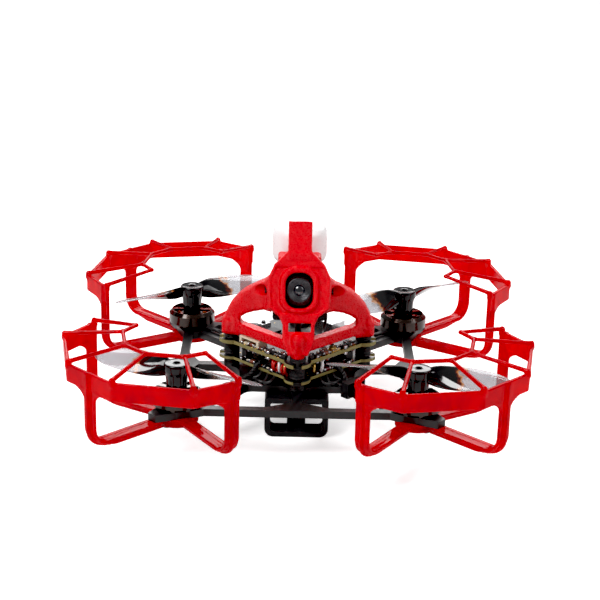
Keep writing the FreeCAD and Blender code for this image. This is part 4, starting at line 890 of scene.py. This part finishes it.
def smooth_path(points, per_span):
    """Points along a smooth curve through the given ones."""
    points = [Vector(p) for p in points]
    padded = [2 * points[0] - points[1]] + points + [2 * points[-1] - points[-2]]
    path = []
    for i in range(1, len(padded) - 2):
        a, b, c, d = padded[i - 1:i + 3]
        for step in range(per_span):
            t = step / per_span
            bend = (2 * a - 5 * b + 4 * c - d) * t * t + (3 * b - a - 3 * c + d) * t ** 3
            path.append(0.5 * (2 * b + (c - a) * t + bend))
    return path + [points[-1]]


def path_frames(path):
    """Each point of a path with two directions square to it, carried along without twisting."""
    frames = []
    side = None
    for i, point in enumerate(path):
        ahead = (path[min(i + 1, len(path) - 1)] - path[max(i - 1, 0)]).normalized()
        if side is None:
            side = ahead.orthogonal().normalized()
        side = (side - ahead * side.dot(ahead)).normalized()
        frames.append((point, side, ahead.cross(side)))
    return frames


def tube_mesh(path, radius, segments):
    """Points and faces of a closed round tube along a path."""
    points, faces = [], []
    for centre, side, other in path_frames(path):
        for i in range(segments):
            angle = 2 * math.pi * i / segments
            points.append((centre + (side * math.cos(angle) + other * math.sin(angle)) * radius) * MM)
    for ring in range(len(path) - 1):
        faces += ring_faces(ring * segments, (ring + 1) * segments, segments)
    last = (len(path) - 1) * segments
    faces.append(tuple(reversed(range(segments))))
    faces.append(tuple(range(last, last + segments)))
    return points, faces


def twisted(path, count, gap, turns, tight):
    """Paths of strands that wind round a common path; over its first tight points they lie close together."""
    frames = path_frames(path)
    strands = [[] for _ in range(count)]
    for i, (centre, side, other) in enumerate(frames):
        spread = gap * min(1.0, max(0.3, (i - tight) / tight))
        for k in range(count):
            angle = 2 * math.pi * (turns * i / (len(frames) - 1) + k / count)
            strands[k].append(centre + (side * math.cos(angle) + other * math.sin(angle)) * spread)
    return strands


def box_mesh(size, centre, turn, bevel):
    """Points and faces of a box with chamfered edges, turned about its upright axis."""
    shape = bmesh.new()
    bmesh.ops.create_cube(shape, size=1.0)
    bmesh.ops.scale(shape, vec=size, verts=shape.verts)
    offset = min(bevel, 0.3 * min(size))
    bmesh.ops.bevel(shape, geom=shape.edges[:], offset=offset, segments=2, affect="EDGES")
    matrix = Matrix.Translation(centre) @ Matrix.Rotation(math.radians(turn), 4, "Z")
    bmesh.ops.transform(shape, matrix=matrix, verts=shape.verts)
    shape.verts.index_update()
    points = [v.co * MM for v in shape.verts]
    faces = [tuple(v.index for v in face.verts) for face in shape.faces]
    shape.free()
    return points, faces


def join(name, meshes, smooth=True):
    """One piece from several (points, faces) pairs."""
    points, faces = [], []
    for some_points, some_faces in meshes:
        shift = len(points)
        points += [tuple(p) for p in some_points]
        faces += [tuple(i + shift for i in face) for face in some_faces]
    return mesh_piece(name, points, faces, smooth)


# ---- propellers

PROP_PLANE = 12.2
PROP_PITCH = 42.0
PROP_TURNS = {"front_right": -14.0, "rear_right": 36.0, "rear_left": 30.0, "front_left": -25.0}
BLADE_ROOT = 1.6
BLADE_ROWS = 56
BLADE_AROUND = 12
# The blade's chord falls off as an ellipse beyond this share of its length.
TIP_STARTS = 0.78
HUB_FOOT, HUB_TOP = 7.0, 14.0
HUB_BORE = 0.76
HUB_OUTLINE = (
    (HUB_BORE, HUB_FOOT), (2.7, HUB_FOOT), (2.75, 9.4), (2.95, 11.0), (3.35, 12.0), (3.42, 13.2),
    (3.2, HUB_TOP), (0.9, HUB_TOP), (HUB_BORE, 13.8),
)
FLUTES = 10
FLUTE_DEPTH = 0.05
FLUTES_LOW, FLUTES_TOP = 7.3, 11.2


def blade_section(share):
    """Chord and thickness at a share of the blade's length."""
    chord = 4.0 + 14.0 * share * (1 - share) + 1.2 * share
    if share > TIP_STARTS:
        chord *= math.sqrt(max(0.0015, 1 - ((share - TIP_STARTS) / (1 - TIP_STARTS)) ** 2))
    return chord, 1.05 - 0.62 * share


def blade_mesh(handed):
    """One blade: a thin cambered section that twists and widens from the root and rounds off at the tip."""
    points = []
    ring = 2 * BLADE_AROUND
    for row in range(BLADE_ROWS):
        along_blade = math.sin(0.5 * math.pi * row / (BLADE_ROWS - 1)) ** 0.9
        radius = BLADE_ROOT + (PROP_REACH - BLADE_ROOT) * along_blade
        chord, thick = blade_section(max(0.0, (radius - 2.0) / (PROP_REACH - 2.0)))
        thick *= 0.35 + 0.65 * min(1.0, (PROP_REACH - radius + 0.15) / 1.2)
        pitch = math.atan2(PROP_PITCH, 2 * math.pi * max(radius, 4.5))
        for i in range(ring):
            along = -0.5 * math.cos(math.pi * i / BLADE_AROUND)
            bow = max(0.0, 1 - (2 * along) ** 2)
            side = 1 if i <= BLADE_AROUND else -1
            height = 0.06 * chord * bow + side * 0.5 * thick * bow ** 0.55
            across = handed * (chord * along * math.cos(pitch) - height * math.sin(pitch))
            rise = chord * along * math.sin(pitch) + height * math.cos(pitch)
            points.append((radius * MM, across * MM, (PROP_PLANE + rise) * MM))
    faces = []
    for row in range(BLADE_ROWS - 1):
        for i in range(ring):
            j = (i + 1) % ring
            faces.append((row * ring + i, (row + 1) * ring + i, (row + 1) * ring + j, row * ring + j))
    last = (BLADE_ROWS - 1) * ring
    faces += [tuple(range(ring)), tuple(reversed(range(last, last + ring)))]
    if handed > 0:
        faces = [face[::-1] for face in faces]
    return points, faces


def hub_flute(radius, height, angle):
    """Shallow flutes round the hub's stem."""
    on_stem = FLUTES_LOW < height < FLUTES_TOP and radius > 2
    return FLUTE_DEPTH * math.cos(FLUTES * angle) if on_stem else 0.0


def make_propellers():
    for corner, (side_x, side_y) in CORNERS.items():
        handed = 1 if corner in ("front_right", "rear_left") else -1
        hub = lathe_mesh(rounded_outline(HUB_OUTLINE, 0.4, 4), 72, hub_flute)
        blade = blade_mesh(handed)
        item = join(f"propeller_blades_{corner}", [hub, blade, turned_mesh(blade, 180)])
        item.location = (side_x * MOTOR_OFFSET * MM, side_y * MOTOR_OFFSET * MM, 0)
        item.rotation_euler = (0, 0, math.radians(PROP_TURNS[corner]))
        settle(item, f"rotor_{corner}", "propeller_plastic", f"propeller_{corner}")


# ---- lens

LENS_RADIUS = 3.3
LENS_MOUTH = LENS_BACK - 0.2
# The barrel, (radius, distance in front of the tilt axis): steps round the glass, side, collar, spigot.
LENS_OUTLINE = (
    (1.5, LENS_MOUTH - 1.25), (1.5, LENS_MOUTH - 0.5), (1.8, LENS_MOUTH - 0.5), (1.9, LENS_MOUTH - 0.28),
    (2.25, LENS_MOUTH - 0.28), (2.3, LENS_MOUTH - 0.12), (2.62, LENS_MOUTH - 0.12), (2.68, LENS_MOUTH - 0.02),
    (3.15, LENS_MOUTH - 0.02), (LENS_RADIUS, LENS_MOUTH - 0.2), (LENS_RADIUS, 3.4), (4.1, 3.4),
    (4.1, 2.2), (2.6, 2.2), (2.6, 1.0), (1.5, 1.0),
)


def make_lens_barrel():
    """The barrel, whose front is a set of concentric steps round a small glass."""
    barrel = join("lens_barrel_rings", [lathe_mesh(rounded_outline(LENS_OUTLINE, 0.06, 2), 96)])
    barrel.location = Vector(camera_axis_point(0)) * MM
    barrel.rotation_euler = (math.radians(90) - FACE_TILT, 0, 0)
    settle(barrel, "camera", "screw_steel", "camera_lens_barrel")


# ---- stack, boards and wires

BOARD_EDGE = 29.7 / 2
DAMPER_RADIUS = 2.15
DAMPER_BORE = 0.75
DAMPER_NECK = 1.63
DAMPERS_LOW, DAMPERS_TOP = 2.02, 11.38
SLACK = 0.02
WIRE_RADIUS = 0.36
LOOP_RADIUS = 0.52
LINK_RADIUS = 0.42


def board_heights(node):
    """The heights of a board's underside and top."""
    low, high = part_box(node)
    return low.z / MM, high.z / MM


def damper_outline(low, board, high):
    """Half a damper's section: its neck sits in a board's hole, with three ribs below it and two above."""
    outline = [(DAMPER_BORE, low), (DAMPER_RADIUS - 0.05, low)]
    for i in range(3):
        z = low + (board[0] - low) * (i + 0.5) / 3
        outline += [(DAMPER_RADIUS, z - 0.18), (DAMPER_RADIUS - 0.17, z), (DAMPER_RADIUS, z + 0.18)]
    outline += [(DAMPER_RADIUS, board[0] - SLACK), (DAMPER_NECK, board[0] - SLACK)]
    outline += [(DAMPER_NECK, board[1] + SLACK), (DAMPER_RADIUS, board[1] + SLACK)]
    for i in range(2):
        z = board[1] + (high - board[1]) * (i + 0.6) / 2
        outline += [(DAMPER_RADIUS, z - 0.15), (DAMPER_RADIUS - 0.15, z), (DAMPER_RADIUS, z + 0.15)]
    return outline + [(DAMPER_RADIUS - 0.05, high), (DAMPER_BORE, high)]


def make_dampers():
    """Two ribbed rubber dampers on each post."""
    lower, upper = board_heights("lower_board"), board_heights("upper_board")
    halfway = (lower[1] + upper[0]) / 2
    shapes = []
    for low, board, high in ((DAMPERS_LOW, lower, halfway - SLACK), (halfway + SLACK, upper, DAMPERS_TOP)):
        form = lathe_mesh(rounded_outline(damper_outline(low, board, high), 0.08, 2), 40)
        shapes += [moved_mesh(form, x, y) for x, y in POSTS]
    settle(join("stack_rubber", shapes), "airframe", "damper_rubber", "stack_dampers")


def make_motor_wires():
    """Three twisted wires on each arm that leave the motor low, under its bell, and loop up to the board."""
    strands = []
    for index, turn in enumerate((45, 135, 225, 315)):
        loose = 0.5 + 0.35 * (index % 2)
        run = [(38.6, 0.0, 2.62), (35.0, 0.0, 2.64), (28.0, -0.15, 2.95), (22.0, 0.1, 3.0),
               (BOARD_EDGE + 3.6, -0.1, 3.3), (BOARD_EDGE + 1.5 + loose, 0.2, 4.6),
               (BOARD_EDGE + 0.75, 0.1, 5.6), (BOARD_EDGE - 0.9, 0.0, 5.85)]
        spin = Matrix.Rotation(math.radians(turn), 3, "Z")
        path = smooth_path([spin @ Vector(p) for p in run], 10)
        strands += [tube_mesh(strand, WIRE_RADIUS, 10) for strand in twisted(path, 3, 0.42, 4.5, 9)]
    settle(join("motor_wire_strands", strands), "airframe", "black_wire", "motor_wires")


def make_front_loops():
    """Loose loops of the front motors' wires that hang below the lower board's front edges."""
    loops = []
    for side in (1, -1):
        for start, drop, out in ((9.4, 0.0, 0.0), (7.6, -0.35, 0.8), (5.9, 0.1, 0.3)):
            x, y = side * start, -(21.0 - start)
            points = [(x, y + 1.6, 4.1), (x + side * 0.3, y - 0.4, 3.9),
                      (x + side * 1.2, y - 1.3 - out, 3.3 + drop), (x + side * 2.6, y - 0.9 - out, 2.9),
                      (x + side * 4.2, y + 0.4, 2.75), (x + side * 5.8, y - 1.5, 2.7)]
            loops.append(tube_mesh(smooth_path(points, 8), LOOP_RADIUS, 10))
    settle(join("wire_loops", loops), "airframe", "black_wire")


# ---- small parts on the boards

EDGE_TURNS = (-45.0, -135.0)
CHIP_SIZES = ((1.0, 0.55, 0.45), (1.6, 0.85, 0.6), (1.0, 0.55, 0.5), (2.2, 1.3, 0.8))
CHIP_BEVEL = 0.05
# Rows of small parts as (distance in from the board's edge, pitch, number).
UPPER_ROWS = ((0.9, 1.75, 9), (2.6, 2.3, 7))
LOWER_ROWS = ((0.8, 2.0, 8),)
# Link wires by colour: the piece, its material and where each wire starts across the board.
LINK_WIRES = (
    ("wires_pale", "antenna_plastic", (-4.7, 6.4)),
    ("wires_amber", "brass", (-3.2, 4.2)),
    ("wires_red", "red_wire", (-6.3,)),
)


def board_spots(inset, pitch, count):
    """Places for small parts in a row just inside each front edge of a board: (x, y, turn, index)."""
    spots = []
    for edge_turn in EDGE_TURNS:
        spin = Matrix.Rotation(math.radians(edge_turn), 3, "Z")
        for i in range(count):
            place = spin @ Vector((BOARD_EDGE - inset, (i - (count - 1) / 2) * pitch, 0))
            spots.append((place.x, place.y, edge_turn, i))
    return spots


def small_part(size, x, y, z, turn):
    """The body of a chip part and its two tinned ends."""
    long, wide, tall = size
    body = box_mesh((long * 0.62, wide, tall), (x, y, z), turn, CHIP_BEVEL)
    reach = Matrix.Rotation(math.radians(turn), 3, "Z") @ Vector((long * 0.4, 0, 0))
    end_size = (long * 0.22, wide * 1.02, tall * 1.04)
    places = [(x + sign * reach.x, y + sign * reach.y, z) for sign in (1, -1)]
    ends = [box_mesh(end_size, place, turn, CHIP_BEVEL) for place in places]
    return body, ends


def make_board_parts():
    """Rows of chip parts along the front edges of the upper board's two faces and the lower board's top."""
    upper, lower = board_heights("upper_board"), board_heights("lower_board")
    dark, pale, tinned = [], [], []
    sides = ((upper[1], 1, UPPER_ROWS), (upper[0], -1, UPPER_ROWS), (lower[1], 1, LOWER_ROWS))
    for surface, upward, rows in sides:
        for inset, pitch, count in rows:
            for x, y, turn, i in board_spots(inset, pitch, count):
                size = CHIP_SIZES[(i * 3 + int(inset * 2)) % len(CHIP_SIZES)]
                square = turn + (90 if (i + int(inset)) % 3 else 0)
                body, ends = small_part(size, x, y, surface + upward * (size[2] / 2 - SLACK), square)
                (pale if i % 4 == 1 else dark).append(body)
                tinned += ends
    bodies = join("chip_bodies", dark, False)
    settle(bodies, "airframe", "chip")
    bodies.data.materials[0] = SMALL_PART_FINISH
    settle(join("chip_bodies_pale", pale, False), "airframe", "socket_plastic")
    settle(join("chip_ends", tinned, False), "airframe", "socket_steel")


def make_pads():
    """Gold solder pads along the front edges of the upper board, in pairs."""
    top = board_heights("upper_board")[1]
    shapes = []
    for x, y, turn, i in board_spots(0.35, 1.45, 11):
        if i % 3 != 2:
            shapes.append(box_mesh((0.62, 0.85, 0.06), (x, y, top + 0.01), turn, 0.02))
    settle(join("gold_pads", shapes, False), "airframe", "brass")


def make_loose_wires():
    """Silicone link wires at the front post that run from the lower board up to the upper one."""
    floor = board_heights("lower_board")[1]
    for name, slot, starts in LINK_WIRES:
        shapes = []
        for x in starts:
            side = math.copysign(1, x)
            y = -(20.2 - abs(x))
            points = [(x, y + 1.4, floor + 0.45), (x, y + 0.2, floor + 0.6),
                      (x + side * 0.2, y - 0.5, floor + 1.5), (x + side * 0.25, y - 0.35, floor + 2.6),
                      (x + side * 0.1, y + 0.5, floor + 3.1)]
            shapes.append(tube_mesh(smooth_path(points, 8), LINK_RADIUS, 12))
        settle(join(name, shapes), "airframe", slot)


# ---- CAD pieces that are shown as they are


def show_cad_nodes():
    for row in frame["record"]["subparts"]:
        dress(frame["nodes"][row["node"]], row["material_slot"])


# ---- floor, light and camera


def studio_floor():
    s = Shader("studio_floor")
    tone = s.ramp(s.noise(0.01, 3.0), ((0.3, (0.90, 0.90, 0.905)), (0.7, (0.93, 0.93, 0.93))))
    seen = s.add("ShaderNodeLightPath").outputs["Is Camera Ray"]
    strength = s.math("MULTIPLY", seen, 0.56)
    lift = s.add("ShaderNodeEmission", {"Color": (1, 1, 1, 1), "Strength": strength}).outputs[0]
    return s.done(s.add("ShaderNodeAddShader", {0: s.surface(tone, 0.6), 1: lift}).outputs[0])


def make_floor():
    low = CAD_LOW[2]
    points = [(-4, -4, low), (4, -4, low), (4, 8, low), (-4, 8, low)]
    item = mesh_piece("studio_floor", points, [(0, 1, 2, 3)])
    item.data.materials.append(studio_floor())


def make_light(name, place, aim, size, watts):
    lamp = bpy.data.lights.new(name, "AREA")
    lamp.shape = "RECTANGLE"
    lamp.size, lamp.size_y = size
    lamp.energy = watts
    item = linked(name, lamp)
    item.location = place
    item.rotation_euler = (Vector(aim) - Vector(place)).to_track_quat("-Z", "Y").to_euler()


BLACK_POINT = 0.012


def make_studio():
    world = bpy.data.worlds.new("studio")
    bpy.context.scene.world = world
    world.use_nodes = True
    background = world.node_tree.nodes["Background"]
    background.inputs["Color"].default_value = (1, 1, 1, 1)
    background.inputs["Strength"].default_value = 0.27
    make_light("key_softbox", (-0.35, -0.25, 0.55), (0, 0, 0), (0.32, 0.32), 3.3)
    make_light("fill_softbox", (0.45, -0.15, 0.4), (0, 0, 0.01), (0.3, 0.4), 1.2)
    make_light("back_softbox", (0.05, 0.55, 0.4), (0, 0, 0), (0.8, 0.35), 4.2)
    scene = bpy.context.scene
    scene.view_settings.view_transform = "Standard"
    scene.view_settings.look = "None"
    scene.view_settings.exposure = 0.0
    scene.view_settings.use_curve_mapping = True
    contrast = scene.view_settings.curve_mapping
    contrast.black_level = (BLACK_POINT, BLACK_POINT, BLACK_POINT)
    contrast.update()


CAMERA_ELEVATION = math.radians(19.148)
CAMERA_YAW = math.radians(-0.434)
CAMERA_ROLL = math.radians(1.401)
CAMERA_DISTANCE = 442.75
CAMERA_TARGET = Vector((0.359, 0.0, 20.876))
CAMERA_LENS = 97.46
CAMERA_SENSOR = 36.0


def make_camera():
    elevation, yaw, roll = CAMERA_ELEVATION, CAMERA_YAW, CAMERA_ROLL
    level = math.cos(elevation)
    back = Vector((math.sin(yaw) * level, -math.cos(yaw) * level, math.sin(elevation)))
    right = (-back).cross(Vector((0, 0, 1))).normalized()
    up = right.cross(-back)
    leaning_right = right * math.cos(roll) + up * math.sin(roll)
    leaning_up = -right * math.sin(roll) + up * math.cos(roll)
    data = bpy.data.cameras.new("camera")
    data.lens = CAMERA_LENS
    data.sensor_width = CAMERA_SENSOR
    data.clip_start, data.clip_end = 0.01, 50.0
    item = linked("camera", data)
    axes = Matrix((leaning_right, leaning_up, back)).transposed().to_4x4()
    item.matrix_world = Matrix.Translation((CAMERA_TARGET + back * CAMERA_DISTANCE) * MM) @ axes
    bpy.context.scene.camera = item


show_cad_nodes()
make_canopy()
make_guards()
make_propellers()
make_lens_barrel()
make_dampers()
make_motor_wires()
make_front_loops()
make_board_parts()
make_pads()
make_loose_wires()
make_floor()
make_studio()
make_camera()
